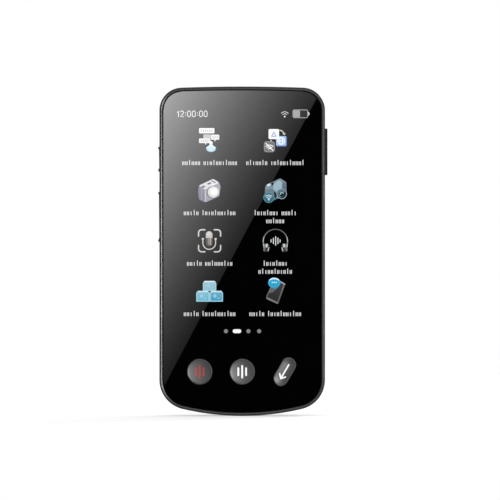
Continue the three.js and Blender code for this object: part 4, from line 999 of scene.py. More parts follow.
@dataclass
class FrontKeys:
    """Two round talk keys and a tilted pill key, each dished inside a thin rim."""

    row: float = -54.1
    pitch: float = 19.1
    diameter: float = 11.2
    pill_length: float = 13.4
    pill_width: float = 6.5
    pill_tilt: float = -30.0
    base_depth: float = 1.0
    proud: float = 0.25
    dish: float = 0.22
    rim: float = 0.55
    flange: float = 0.5
    flange_thickness: float = 0.35
    plunger_radius: float = 1.1
    plunger_end: float = 2.4
    edge: float = 0.15
    rim_edge: float = 0.04
    lip: float = 0.03
    dish_shares: tuple[float, ...] = (0.0, 0.04, 0.1, 0.2, 0.32, 0.46, 0.62, 0.8, 0.92)
    print_height: float = 0.012
    bar_width: float = 0.78
    bar_pitch: float = 1.75
    bar_lengths: Triple = (3.9, 6.0, 3.9)
    arrow_reach: float = 3.6
    arrow_width: float = 0.62
    head_length: float = 1.7
    head_reach: float = 1.5

    def outlines(self, border: float) -> list[Outline]:
        """The three keys' outlines on the front, widened by a border.

        Args:
            border: How much wider than the key.

        Returns:
            The outlines.
        """
        disc = circle(self.diameter / 2 + border, 96)
        pill = stadium(self.pill_length + 2 * border, self.pill_width + 2 * border, 40)
        pill = turned(pill, self.pill_tilt)
        return [
            shifted(disc, -self.pitch, self.row),
            shifted(disc, 0.0, self.row),
            shifted(pill, self.pitch, self.row),
        ]

    def sink(self, edge: float, half: float) -> float:
        """How far the dish lies under the rim.

        Args:
            edge: The distance in from the key's side.
            half: The distance from the side to the key's middle.

        Returns:
            The depth of the dish there.
        """
        share = min(max((edge - self.rim) / (half - self.rim), 0.0), 1.0)
        return self.dish * (1.0 - (1.0 - share) ** 2)

    def face(self, inset: float, half: float) -> float:
        """The height of the dished face over the base, an inset in from the side."""
        sunk = self.sink(inset, half) * (1 - self.lip / self.dish)
        return self.base_depth + self.proud - self.lip - sunk

    def steps(self, half: float) -> Outline:
        """The cap's section as inset and height over its base.

        Args:
            half: The distance from the side to the key's middle.

        Returns:
            The points from the flange's underside to the dish.
        """
        top = self.base_depth + self.proud
        points = [(-self.flange, -self.flange_thickness), (-self.flange, 0.0), (0.0, 0.0)]
        points.append((0.0, top - self.edge))
        points += [(inset, top - drop) for inset, drop in quarter(self.edge, 5)]
        points.append((self.rim - self.rim_edge, top))
        for share in self.dish_shares:
            inset = self.rim + self.lip + (half - self.rim - self.lip) * share
            points.append((inset, self.face(inset, half)))
        return points

    def cap(self, index: int, name: str, node: str) -> None:
        """Builds one key's cap with its flange and plunger.

        Args:
            index: Which key it is.
            name: The piece's name.
            node: The node it stands for, which is also its body.
        """
        pill = index == 2
        half = (self.pill_width if pill else self.diameter) / 2
        centre = (index - 1) * self.pitch
        place = facing_front(self.base_depth)
        rings = []
        for inset, height in self.steps(half):
            if pill:
                flat = stadium(self.pill_length - 2 * inset, self.pill_width - 2 * inset, 32, 6)
                flat = turned(flat, self.pill_tilt)
            else:
                flat = circle(half - inset, 96)
            rings.append(placed(shifted(flat, centre, self.row), place, height))
        shape = Builder()
        # The flange and side wall take the darker side-key plastic. This makes a two-tone cap, and is also
        # painted shade in the gap round the key.
        shape.loft(rings, slots=[1, 1, 1] + [0] * (len(rings) - 4))
        peg = shifted(circle(self.plunger_radius, 24), centre, self.row)
        length = self.plunger_end - self.base_depth
        shape.prism(peg, place, -length, -self.flange_thickness, 1)
        seat(shape.make(name, [KEY_PAINT, SIDE_KEY_PLASTIC], crease=28.0), node, "key_cap", node)

    def lift(self, index: int, x: float, y: float) -> float:
        """The height of a cap's face over its base.

        Args:
            index: Which key it is.
            x: The place across, from the key's middle.
            y: The place up, from the key's middle.

        Returns:
            The height, with a print's thickness on it.
        """
        half, away = self.diameter / 2, math.hypot(x, y)
        if index == 2:
            half = self.pill_width / 2
            reach = self.pill_length / 2 - half
            turn = math.radians(90.0 + self.pill_tilt)
            along = x * math.cos(turn) + y * math.sin(turn)
            along = max(-reach, min(reach, along))
            away = math.hypot(x - along * math.cos(turn), y - along * math.sin(turn))
        return self.face(half - away, half) + self.print_height

    def stroke(self, shape: Builder, index: int, path: Outline, width: float) -> None:
        """Lays a printed stroke with round ends on a cap's face.

        Args:
            shape: What the stroke is added to.
            index: Which key it is on.
            path: The stroke's middle line, from the key's middle.
            width: The stroke's width.
        """
        centre = (index - 1) * self.pitch
        place = facing_front(self.base_depth)
        outline = stroke_outline(path, width)
        count = len(outline) // 2
        for drop in (self.lip, 0.0):
            rows = []
            for side in (outline[:count], outline[count:][::-1]):
                heights = [self.lift(index, x, y) - drop for x, y in side]
                spots = zip(shifted(side, centre, self.row), heights)
                rows.append(shape.ring([place(x, y, height) for (x, y), height in spots]))
            shape.strip(*rows)

    def prints(self) -> None:
        """Prints three bars on each talk key and a return arrow on the pill."""
        talk = (
            ("talk_print_left", PRINT_RED, "talk_key_left"),
            ("talk_print_right", PRINT_WHITE, "talk_key_right"),
        )
        for index, (name, finish, body) in enumerate(talk):
            shape = Builder()
            for i, length in enumerate(self.bar_lengths):
                x, reach = (i - 1) * self.bar_pitch, (length - self.bar_width) / 2
                self.stroke(shape, index, line((x, -reach), (x, reach), 10), self.bar_width)
            seat(shape.make(name, [finish]), body, "key_cap")
        shape = Builder()
        tip, back, side = self.arrow_reach, self.arrow_reach - self.head_length, self.head_reach
        shaft = line((-tip, 0.0), (tip, 0.0), 18)
        head = line((-back, side), (-tip, 0.0), 6) + line((-tip, 0.0), (-back, -side), 6)[1:]
        for path in (shaft, head):
            self.stroke(shape, 2, turned(path, 90.0 + self.pill_tilt), self.arrow_width)
        seat(shape.make("back_arrow_print", [PRINT_WHITE]), "back_key", "key_cap")

    def build(self) -> None:
        """Builds the three caps and their prints."""
        self.cap(0, "talk_cap_left", "talk_key_left")
        self.cap(1, "talk_cap_right", "talk_key_right")
        self.cap(2, "back_cap", "back_key")
        self.prints()


def stroke_outline(path: Outline, width: float) -> Outline:
    """The outline of a stroke of even width with round ends.

    Args:
        path: The stroke's middle line.
        width: The stroke's width.

    Returns:
        The left side from start to end, then the right side back again.
    """
    half, steps = width / 2, []
    for i, (x, y) in enumerate(path):
        before, after = path[max(i - 1, 0)], path[min(i + 1, len(path) - 1)]
        turn = math.atan2(after[1] - before[1], after[0] - before[0])
        steps.append((x, y, turn, half))
    first, last = steps[0], steps[-1]
    for angle in TIP_ANGLES:
        away, reach = half * math.cos(angle), half * math.sin(angle)
        x, y, turn, _ = first
        steps.insert(0, (x - away * math.cos(turn), y - away * math.sin(turn), turn, reach))
        x, y, turn, _ = last
        steps.append((x + away * math.cos(turn), y + away * math.sin(turn), turn, reach))
    left, right = [], []
    for x, y, turn, reach in steps:
        left.append((x - reach * math.sin(turn), y + reach * math.cos(turn)))
        right.append((x + reach * math.sin(turn), y - reach * math.cos(turn)))
    return left + right[::-1]


def greys(top: float, bottom: float) -> tuple[Colour, Colour]:
    """Two plain greys, for the top and the bottom of an ink."""
    return (top, top, top), (bottom, bottom, bottom)


class Sketch:
    """One lit drawing on the glass, in millimetres from its own middle."""

    layer: float = 0.004
    half: float = 5.6

    def __init__(self, name: str, spot: Pair, *shades: tuple[Colour, Colour]) -> None:
        """Starts a drawing with its inks.

        Args:
            name: What the drawing is called.
            spot: Its middle, across and up.
            *shades: The top and bottom colour of each ink.
        """
        self.name, self.spot = name, spot
        span = (spot[1] - self.half, spot[1] + self.half)
        self.inks = [Glow(f"{name}_ink_{i}", *pair, span) for i, pair in enumerate(shades)]
        self.shape = Builder()
        self.height = 0.0

    def fill(self, outline: Outline, ink: int = 0) -> None:
        """Adds a flat shape over all that is drawn so far.

        Args:
            outline: The shape's outline.
            ink: The number of its ink.
        """
        place = facing_front(0.0)
        low, self.height = self.height, self.height + self.layer
        moved = shifted(outline, *self.spot)
        under = self.shape.ring(placed(moved, place, low))
        over = self.shape.ring(placed(moved, place, self.height))
        self.shape.bridge(under, over, ink)
        self.shape.face(over, ink)

    def draw(self, path: Outline, width: float, ink: int = 0) -> None:
        """Adds a stroke with round ends over all that is drawn so far.

        Args:
            path: Its middle line.
            width: Its width.
            ink: The number of its ink.
        """
        place = facing_front(0.0)
        self.height += self.layer
        outline = shifted(stroke_outline(path, width), *self.spot)
        count = len(outline) // 2
        left = self.shape.ring(placed(outline[:count], place, self.height))
        right = self.shape.ring(placed(outline[count:][::-1], place, self.height))
        self.shape.strip(left, right, ink)

    def show(self) -> None:
        """Makes the drawing and seats it on the housing."""
        seat(self.shape.make(self.name, self.inks), HOUSING, "display")


@dataclass
class ScreenImage:
    """The lit picture: a status row, eight icons over rows of bars, and page dots."""

    left: float = -14.65
    right: float = 14.8
    rows: tuple[float, ...] = (49.9, 27.4, 4.7, -17.9)
    label_drop: float = 10.4
    label_pitch: float = 3.6
    bar_width: float = 0.38
    bar_height: float = 1.7
    tall_height: float = 2.4
    bar_shift: float = 0.31
    bar_step: float = 1.4
    group_gap: float = 1.15

    def messages(self, spot: Pair) -> None:
        """Four pale message blocks over a light blue figure.

        Args:
            spot: The icon's middle, across and up.
        """
        icon = Sketch(
            "icon_messages", spot, ((0.86, 0.86, 0.87), (0.72, 0.72, 0.75)),
            ((0.5, 0.5, 0.52), (0.5, 0.5, 0.53)), ((0.78, 0.92, 0.96), (0.5, 0.72, 0.82)),
            ((0.5, 0.62, 0.68), (0.16, 0.33, 0.4)), ((0.97, 0.98, 1.0), (0.9, 0.96, 1.0)),
        )
        icon.fill(rounded(3.4, 1.8, 0.35, -1.1, 1.65), 1)
        for cx, cz, wide, high in ((-1.28, 4.2, 6.9, 2.4), (2.5, 1.3, 3.7, 2.3), (-2.2, -0.3, 5.1, 2.1)):
            icon.fill(rounded(wide, high, 0.4, cx, cz), 0)
            marks = round(wide * 0.85)
            for k in range(marks):
                spot = cx + (k - (marks - 1) / 2) * 0.95
                icon.fill(rounded(0.5, 1.0, 0.15, spot, cz, 3), 1)
        icon.fill([(2.9, 0.2), (2.3, -0.75), (2.1, 0.2)], 0)
        icon.fill([(-1.3, -1.3), (-1.9, -2.2), (-2.1, -1.3)], 0)
        body = [(0.2, -1.5), (-0.35, -2.4), (-1.5, -3.1), (-1.7, -4.0), (-1.2, -4.9), (0.0, -5.4)]
        body += [(1.3 - px, pz) for px, pz in body[::-1]]
        icon.fill(soften(body, 0.7), 3)
        inner = [(0.65 + (px - 0.65) * 0.78, -3.55 + (pz + 3.55) * 0.86) for px, pz in body]
        icon.fill(soften(inner, 0.6), 2)
        icon.fill(circle(0.75, 24, 0.65, -1.25), 4)
        for side in (-1, 1):
            icon.draw([(0.65, -2.0), (0.65 + side * 0.9, -2.9), (0.65 + side * 2.0, -3.5)], 0.3, 4)
        icon.show()

    def tiles(self, spot: Pair) -> None:
        """A white and a blue tile with plain marks, and a grey tile crossed out.

        Args:
            spot: The icon's middle, across and up.
        """
        icon = Sketch(
            "icon_tiles", spot, ((0.98, 0.99, 1.0), (0.95, 0.97, 1.0)),
            ((0.42, 0.6, 0.92), (0.32, 0.5, 0.85)), ((0.12, 0.2, 0.45), (0.08, 0.14, 0.4)),
            greys(0.26, 0.29), greys(0.13, 0.15), ((0.74, 0.76, 0.6), (0.5, 0.6, 0.4)),
            ((0.4, 0.5, 0.75), (0.3, 0.4, 0.7)),
        )
        icon.draw(arc(1.7, 2.0, 2.45, 80.0, 12.0, 12), 0.45, 5)
        icon.draw([(3.55, 2.9), (4.1, 2.4), (4.55, 3.0)], 0.28, 5)
        icon.draw(arc(0.4, 0.2, 2.3, 185.0, 250.0, 8), 0.45, 5)
        icon.fill(rounded(4.9, 4.7, 0.7, 2.8, -0.55), 2)
        icon.fill(rounded(4.5, 4.3, 0.6, 2.65, -0.35), 1)
        for width, high in ((3.1, 3.1), (1.3, 3.1)):
            ring = [(2.65 + px * width / 2, -0.4 + pz * high / 2) for px, pz in circle(1.0, 24)]
            icon.draw(ring + ring[:2], 0.38, 0)
        icon.draw([(1.1, -0.4), (4.2, -0.4)], 0.34, 0)
        icon.fill(rounded(4.7, 4.5, 0.55, -0.6, 2.7), 0)
        icon.fill(soften([(-2.0, 1.4), (0.8, 1.4), (-0.6, 4.1)], 0.3), 6)
        icon.fill(soften([(-1.15, 1.9), (-0.05, 1.9), (-0.6, 2.95)], 0.2), 0)
        icon.fill(rounded(4.9, 4.9, 1.3, -2.6, -3.0), 3)
        icon.fill(rounded(4.1, 4.1, 1.0, -2.6, -3.0), 4)
        for radius in (0.6, 1.4, 2.2):
            icon.draw(arc(-2.6, -4.4, radius, 138.0, 42.0, 12), 0.36, 0)
        icon.draw([(-4.1, -1.5), (-1.0, -4.6)], 0.42, 0)
        icon.show()

    def camera(self, spot: Pair) -> None:
        """A lilac camera seen from above and to one side.

        Args:
            spot: The icon's middle, across and up.
        """
        icon = Sketch(
            "icon_camera", spot, ((0.4, 0.39, 0.46), (0.3, 0.3, 0.39)),
            ((0.24, 0.235, 0.29), (0.17, 0.17, 0.23)), ((0.72, 0.71, 0.76), (0.6, 0.6, 0.64)),
            ((0.16, 0.155, 0.17), (0.16, 0.155, 0.17)),
            ((0.95, 0.95, 0.93), (0.88, 0.88, 0.86)), ((0.06, 0.06, 0.08), (0.12, 0.12, 0.15)),
            ((0.78, 0.78, 0.74), (0.7, 0.7, 0.66)),
        )
        icon.fill(soften([(-2.0, -5.5), (4.3, -2.8), (4.95, 1.6), (4.3, 3.5), (-2.0, 0.1)], 0.6), 0)
        icon.fill(soften([(-4.8, -4.15), (-2.0, -5.5), (-2.0, 0.2), (-4.8, 2.1), (-5.15, -0.4)], 0.5), 1)
        icon.fill(soften([(-4.8, 2.1), (1.6, 5.1), (4.3, 3.5), (-2.0, 0.1)], 0.5), 2)
        icon.draw([(-3.5, -4.3), (-3.5, 0.6)], 0.4, 0)
        icon.draw([(-2.0, -5.1), (-2.0, -0.2)], 0.34, 2)
        icon.fill(soften([(-3.9, 1.6), (-2.6, 2.2), (-1.7, 1.6), (-3.0, 0.9)], 0.3), 3)
        icon.fill(soften([(-1.2, 2.9), (0.3, 3.6), (0.9, 3.2), (-0.6, 2.4)], 0.3), 5)
        icon.draw([(0.9, 4.2), (2.6, 3.4)], 0.45, 3)
        icon.draw([(-0.2, 1.7), (3.6, 3.3)], 0.3, 4)
        icon.fill(circle(2.9, 40, 1.5, -0.9), 3)
        icon.fill(circle(2.6, 40, 1.75, -0.85), 2)
        icon.fill(circle(2.1, 36, 1.8, -0.8), 6)
        icon.fill(circle(1.55, 36, 1.95, -0.65), 4)
        icon.draw(arc(1.5, -0.9, 2.75, 250.0, 330.0, 12), 0.3, 5)
        icon.show()

    def linked_camera(self, spot: Pair) -> None:
        """A blue-grey camera with a round wireless badge.

        Args:
            spot: The icon's middle, across and up.
        """
        icon = Sketch(
            "icon_linked_camera", spot, ((0.24, 0.29, 0.34), (0.08, 0.14, 0.18)),
            ((0.36, 0.5, 0.56), (0.3, 0.45, 0.52)), ((0.018, 0.026, 0.034), (0.014, 0.03, 0.038)),
            ((0.3, 0.42, 0.48), (0.22, 0.34, 0.4)), ((0.66, 0.74, 0.8), (0.5, 0.85, 0.95)),
            ((0.16, 0.2, 0.24), (0.03, 0.12, 0.17)), ((0.16, 0.34, 0.4), (0.07, 0.25, 0.32)),
        )
        body = [(-4.5, 1.5), (-3.8, 2.6), (-1.4, 3.6), (2.3, 5.35), (5.05, 3.5), (5.05, -1.9)]
        body += [(-2.4, -5.4), (-4.7, -3.0)]
        icon.fill(soften(body, 0.6), 0)
        icon.fill(soften([(-0.9, 2.6), (1.7, 4.6), (3.2, 3.6), (3.0, 0.4), (0.0, -0.6), (-0.9, 0.6)], 0.7), 1)
        icon.fill(soften([(3.1, 3.6), (4.9, 3.2), (4.9, 0.2), (3.3, 0.6)], 0.4), 5)
        icon.fill(soften([(-3.9, 2.4), (-2.4, 3.1), (-1.9, 2.3), (-3.2, 1.5)], 0.3), 4)
        icon.fill(soften([(-1.9, 3.2), (-0.8, 3.7), (-0.6, 2.4), (-1.5, 2.1)], 0.3), 2)
        icon.draw([(-4.2, 0.9), (-1.6, 1.1), (-0.6, 0.4)], 0.35, 3)
        icon.fill(soften([(0.0, -0.4), (2.9, 0.7), (3.0, -4.0), (0.3, -3.4)], 0.8), 3)
        icon.fill(soften([(-0.6, -0.7), (0.6, -1.0), (0.8, -3.1), (-0.3, -3.6)], 0.4), 2)
        icon.fill(circle(2.35, 40, 2.9, -1.65), 3)
        icon.fill(circle(1.95, 40, 2.95, -1.65), 2)
        icon.draw(arc(2.95, -1.65, 1.4, 250.0, 40.0, 20), 0.34, 3)
        icon.draw(arc(3.0, -1.6, 0.6, 200.0, 20.0, 10), 0.3, 4)
        icon.fill(circle(2.45, 40, -2.85, -3.25), 6)
        icon.fill(circle(2.05, 40, -2.85, -3.25), 5)
        for radius in (0.7, 1.45, 2.2):
            icon.draw(arc(-2.85, -4.4, radius, 130.0, 50.0, 12), 0.34, 4)
        icon.fill(circle(0.35, 16, -2.85, -4.3), 4)
        icon.show()

    def recorder(self, spot: Pair) -> None:
        """A microphone in a holder between four corner marks.

        Args:
            spot: The icon's middle, across and up.
        """
        icon = Sketch(
            "icon_recorder", spot, ((0.66, 0.65, 0.64), (0.6, 0.59, 0.58)),
            ((0.56, 0.53, 0.51), (0.5, 0.46, 0.44)), ((0.13, 0.11, 0.095), (0.05, 0.045, 0.038)),
            ((0.4, 0.36, 0.32), (0.36, 0.32, 0.28)),
        )
        for turn in range(4):
            bend = [(4.95, 2.1)] + arc(3.55, 3.55, 1.4, 0.0, 90.0, 8) + [(2.1, 4.95)]
            icon.draw(turned(bend, 90.0 * turn), 0.6, 0)
        icon.fill(shifted(stadium(6.9, 3.0), -0.2, 0.85), 2)
        icon.draw([(0.35, 0.9), (0.35, -1.6)], 0.8, 3)
        icon.draw([(-0.55, 0.9), (-0.55, -1.7)], 0.3, 3)
        dome = arc(-0.2, 2.8, 1.5, 0.0, 180.0, 20) + [(-1.7, 1.2), (1.3, 1.2)]
        icon.fill(dome, 1)
        icon.fill(circle(0.95, 24, -0.35, 3.0), 0)
        cradle = [(-3.0, 0.6)] + arc(-0.15, -1.0, 2.85, 180.0, 360.0, 24) + [(2.7, 0.6)]
        icon.draw(cradle, 0.45, 0)
        for side in (-3.0, 2.7):
            icon.fill(circle(0.5, 16, side, 0.8), 0)
        icon.show()

    def headset(self, spot: Pair) -> None:
        """A pair of headphones round a sound mark.

        Args:
            spot: The icon's middle, across and up.
        """
        icon = Sketch(
            "icon_headset", spot, ((0.09, 0.09, 0.095), (0.34, 0.34, 0.34)),
            ((0.05, 0.055, 0.055), (0.035, 0.035, 0.037)), ((0.7, 0.72, 0.72), (0.52, 0.54, 0.53)),
            greys(0.8, 0.8), ((0.2, 0.27, 0.26), (0.14, 0.18, 0.18)),
        )
        icon.draw(arc(0.1, -0.3, 5.45, 196.0, -16.0, 40), 0.48, 0)
        for start, end in ((182.0, 158.0), (22.0, -2.0)):
            icon.draw(arc(0.1, -0.3, 5.5, start, end, 10), 0.22, 2)
        for side in (-1, 1):
            cup = shifted(turned(stadium(3.9, 2.5), side * 9.0), 0.1 + side * 4.0, -3.1)
            icon.fill(cup, 1)
            icon.fill(shifted(turned(stadium(3.3, 0.8), side * 9.0), 0.1 + side * 4.85, -3.0), 4)
            icon.fill(shifted(turned(stadium(1.7, 0.95), side * 9.0), 0.1 + side * 3.9, -2.2), 2)
            icon.draw([(0.1 + side * 2.95, -3.1), (0.1 + side * 3.3, -4.5)], 0.4, 2)
            icon.draw([(0.1 + side * 5.3, -1.6), (0.1 + side * 5.25, -2.8)], 0.35, 2)
        for across, length in ((-1.85, 1.0), (-0.8, 2.3), (0.22, 3.8), (1.25, 2.5), (2.2, 1.0)):
            icon.draw([(across, -0.05 - length / 2), (across, -0.05 + length / 2)], 0.4, 3)
        icon.show()

    def blocks(self, spot: Pair) -> None:
        """Three light blue key blocks, one on two.

        Args:
            spot: The icon's middle, across and up.
        """
        icon = Sketch(
            "icon_key_blocks", spot, ((0.4, 0.6, 0.66), (0.3, 0.62, 0.74)),
            ((0.36, 0.58, 0.68), (0.12, 0.44, 0.62)), ((0.3, 0.56, 0.7), (0.02, 0.3, 0.52)),
            ((0.86, 0.95, 0.98), (0.4, 0.72, 0.82)),
        )
        wide = 6.0
        for cx, cz, high, face in ((0.0, 2.35, 4.5, 1), (-3.0, -2.3, 4.9, 1), (3.0, -2.3, 4.9, 2)):
            side, top = wide / 2, high / 2
            edge = [(-side, -top), (side, -top), (side, top - 0.9), (side - 0.7, top)]
            edge += [(0.7 - side, top), (-side, top - 0.9)]
            icon.fill(shifted(soften(edge, 0.25), cx, cz), 0)
            icon.fill(rounded(wide - 1.0, high - 1.3, 0.35, cx, cz - 0.2), face)
            icon.fill(circle(0.75, 20, cx - 0.6, cz + 0.1), 0)
            icon.draw([(cx + 0.5, cz - 0.9), (cx + 1.5, cz - 0.9)], 0.35, 0)
            icon.draw([(cx - side + 0.9, cz + top - 0.3), (cx + side - 0.9, cz + top - 0.3)], 0.4, 3)
        icon.show()

    def phone(self, spot: Pair) -> None:
        """A tilted phone with a round blue bubble.

        Args:
            spot: The icon's middle, across and up.
        """
        icon = Sketch(
            "icon_phone", spot, ((0.2, 0.2, 0.2), (0.1, 0.1, 0.102)),
            ((0.05, 0.052, 0.053), (0.022, 0.022, 0.023)), ((0.05, 0.5, 0.78), (0.008, 0.1, 0.2)),
            ((0.8, 0.97, 1.0), (0.3, 0.75, 0.95)), ((0.42, 0.44, 0.44), (0.2, 0.2, 0.2)),
            ((0.03, 0.38, 0.64), (0.02, 0.3, 0.5)), ((0.13, 0.15, 0.165), (0.1, 0.115, 0.125)),
        )
        case = [(-4.2, -2.8), (1.3, -5.8), (4.5, 3.2), (2.3, 4.4), (-0.8, 4.6)]
        icon.fill(soften(case, 0.6), 0)
        icon.draw([(-3.7, -3.3), (1.1, -5.5)], 0.5, 4)
        icon.fill(soften([(-3.6, -2.6), (1.0, -4.8), (3.8, 3.0), (2.0, 3.9), (-0.9, 4.0)], 0.4), 1)
        icon.fill([(-2.9, -0.9), (-1.2, -0.6), (1.6, 1.8), (0.2, 3.4), (-1.3, 3.2)], 6)
        icon.draw([(2.4, 4.2), (4.3, 3.1)], 0.5, 4)
        icon.fill([(-0.9, 1.8), (-0.2, 0.9), (0.6, 1.8)], 2)
        for cz, wide, high, facets, ink in (
            (3.75, 2.75, 2.35, 44, 2), (4.0, 2.35, 1.85, 40, 5),
            (4.75, 2.2, 1.15, 36, 3), (4.35, 2.1, 1.0, 36, 5),
        ):
            icon.fill([(-0.42 + wide * px, cz + high * pz) for px, pz in circle(1.0, facets)], ink)
        for i in range(3):
            icon.fill(circle(0.3, 16, -1.3 + 0.88 * i, 3.9), 3)
        icon.show()

    def bars(self, row: Sketch, x: float, z: float, counts: Sequence[int]) -> None:
        """Adds groups of plain upright bars in a row, centred on a place.

        Args:
            row: What they are added to.
            x: The row's middle.
            z: The row's middle, up.
            counts: The number of single or paired bars in each group.
        """
        total = sum(counts) * self.bar_step + self.group_gap * (len(counts) - 1)
        at, mark = x - total / 2 + self.bar_step / 2, 0
        for count in counts:
            for _ in range(count):
                tall = (mark * 5 + count) % 4 == 0
                narrow = (mark * 3) % 5 == 1
                height = self.tall_height if tall else self.bar_height
                middle = z + (height - self.bar_height) / 2
                for side in (0,) if tall or narrow else (-1, 1):
                    across = at + side * self.bar_shift
                    row.fill(rounded(self.bar_width, height, 0.17, across, middle, 3))
                    row.height = 0.0
                at += self.bar_step
                mark += 1
            at += self.group_gap

    def labels(self) -> None:
        """The rows of bars under the icons."""
        row = Sketch("icon_labels", (0.0, 0.0), greys(0.72, 0.72))
        lines = (
            (self.left, 0, ((6, 11),)), (self.right, 0, ((7, 11),)), (self.left, 1, ((5, 11),)),
            (self.right, 1, ((8, 5), (6,))), (self.left, 2, ((5, 9),)), (self.right, 2, ((8,), (11,))),
            (self.left, 3, ((5, 11),)), (self.right, 3, ((5, 11),)),
        )
        for x, level, parts in lines:
            for i, counts in enumerate(parts):
                drop = self.label_drop + self.label_pitch * i
                self.bars(row, x, self.rows[level] - drop, counts)
        row.show()

    def clock(self, row: Sketch, x: float) -> None:
        """Adds the clock's plain figures.

        Args:
            row: What they are added to.
            x: Where the first one starts.
        """
        high, wide = 2.6, 1.35
        one = [[(0.0, 0.75 * high), (0.6, high), (0.6, 0.0)]]
        two = [arc(wide / 2, high - wide / 2, wide / 2, 160.0, -30.0, 10) + [(0.0, 0.0), (wide, 0.0)]]
        oval = shifted(stadium(high, wide, 8, 2), wide / 2, high / 2)
        nought = [oval + oval[:2]]
        colon = [[(0.2, 0.6), (0.2, 0.75)], [(0.2, 1.7), (0.2, 1.85)]]
        figures = (one, two, colon, nought, nought, colon, nought, nought)
        for marks, step in zip(figures, (1.5, 2.1, 1.1, 2.1, 2.1, 1.1, 2.1, 2.1)):
            for path in marks:
                row.draw(shifted(path, x, -high / 2), 0.34, 0)
            x += step

    def status(self) -> None:
        """The clock, the wireless mark and the battery mark."""
        shades = greys(0.75, 0.75), greys(0.42, 0.34), greys(0.012, 0.012)
        row = Sketch("status_row", (0.0, 61.7), *shades)
        self.clock(row, -29.2)
        row.fill(circle(0.4, 20, 19.1, -1.25))
        for radius in (1.25, 2.15):
            row.draw(arc(19.1, -1.25, radius, 136.0, 44.0, 12), 0.28)
        case = rounded(6.6, 3.5, 0.7, 26.1, 0.0)
        row.fill(case, 2)
        row.draw(case + case[:2], 0.34, 1)
        row.fill(rounded(2.9, 3.0, 0.3, 24.5, 0.0), 1)
        row.draw(arc(29.3, 0.0, 0.7, 60.0, -60.0, 8), 0.42, 0)
        row.show()

    def dots(self) -> None:
        """Three grey page dots and the white mark of the page that shows."""
        row = Sketch("page_dots", (0.0, -35.9), greys(0.23, 0.23), greys(0.94, 0.94))
        for x in (-7.3, 2.8, 7.6):
            row.fill(circle(0.92, 28, x))
        row.fill(rounded(3.8, 1.75, 0.87, -2.35), 1)
        row.show()

    def build(self) -> None:
        """Builds the whole picture."""
        self.status()
        left = (self.messages, self.camera, self.recorder, self.blocks)
        right = (self.tiles, self.linked_camera, self.headset, self.phone)
        for x, icons in ((self.left, left), (self.right, right)):
            for z, draw in zip(self.rows, icons):
                draw((x, z))
        self.labels()
        self.dots()


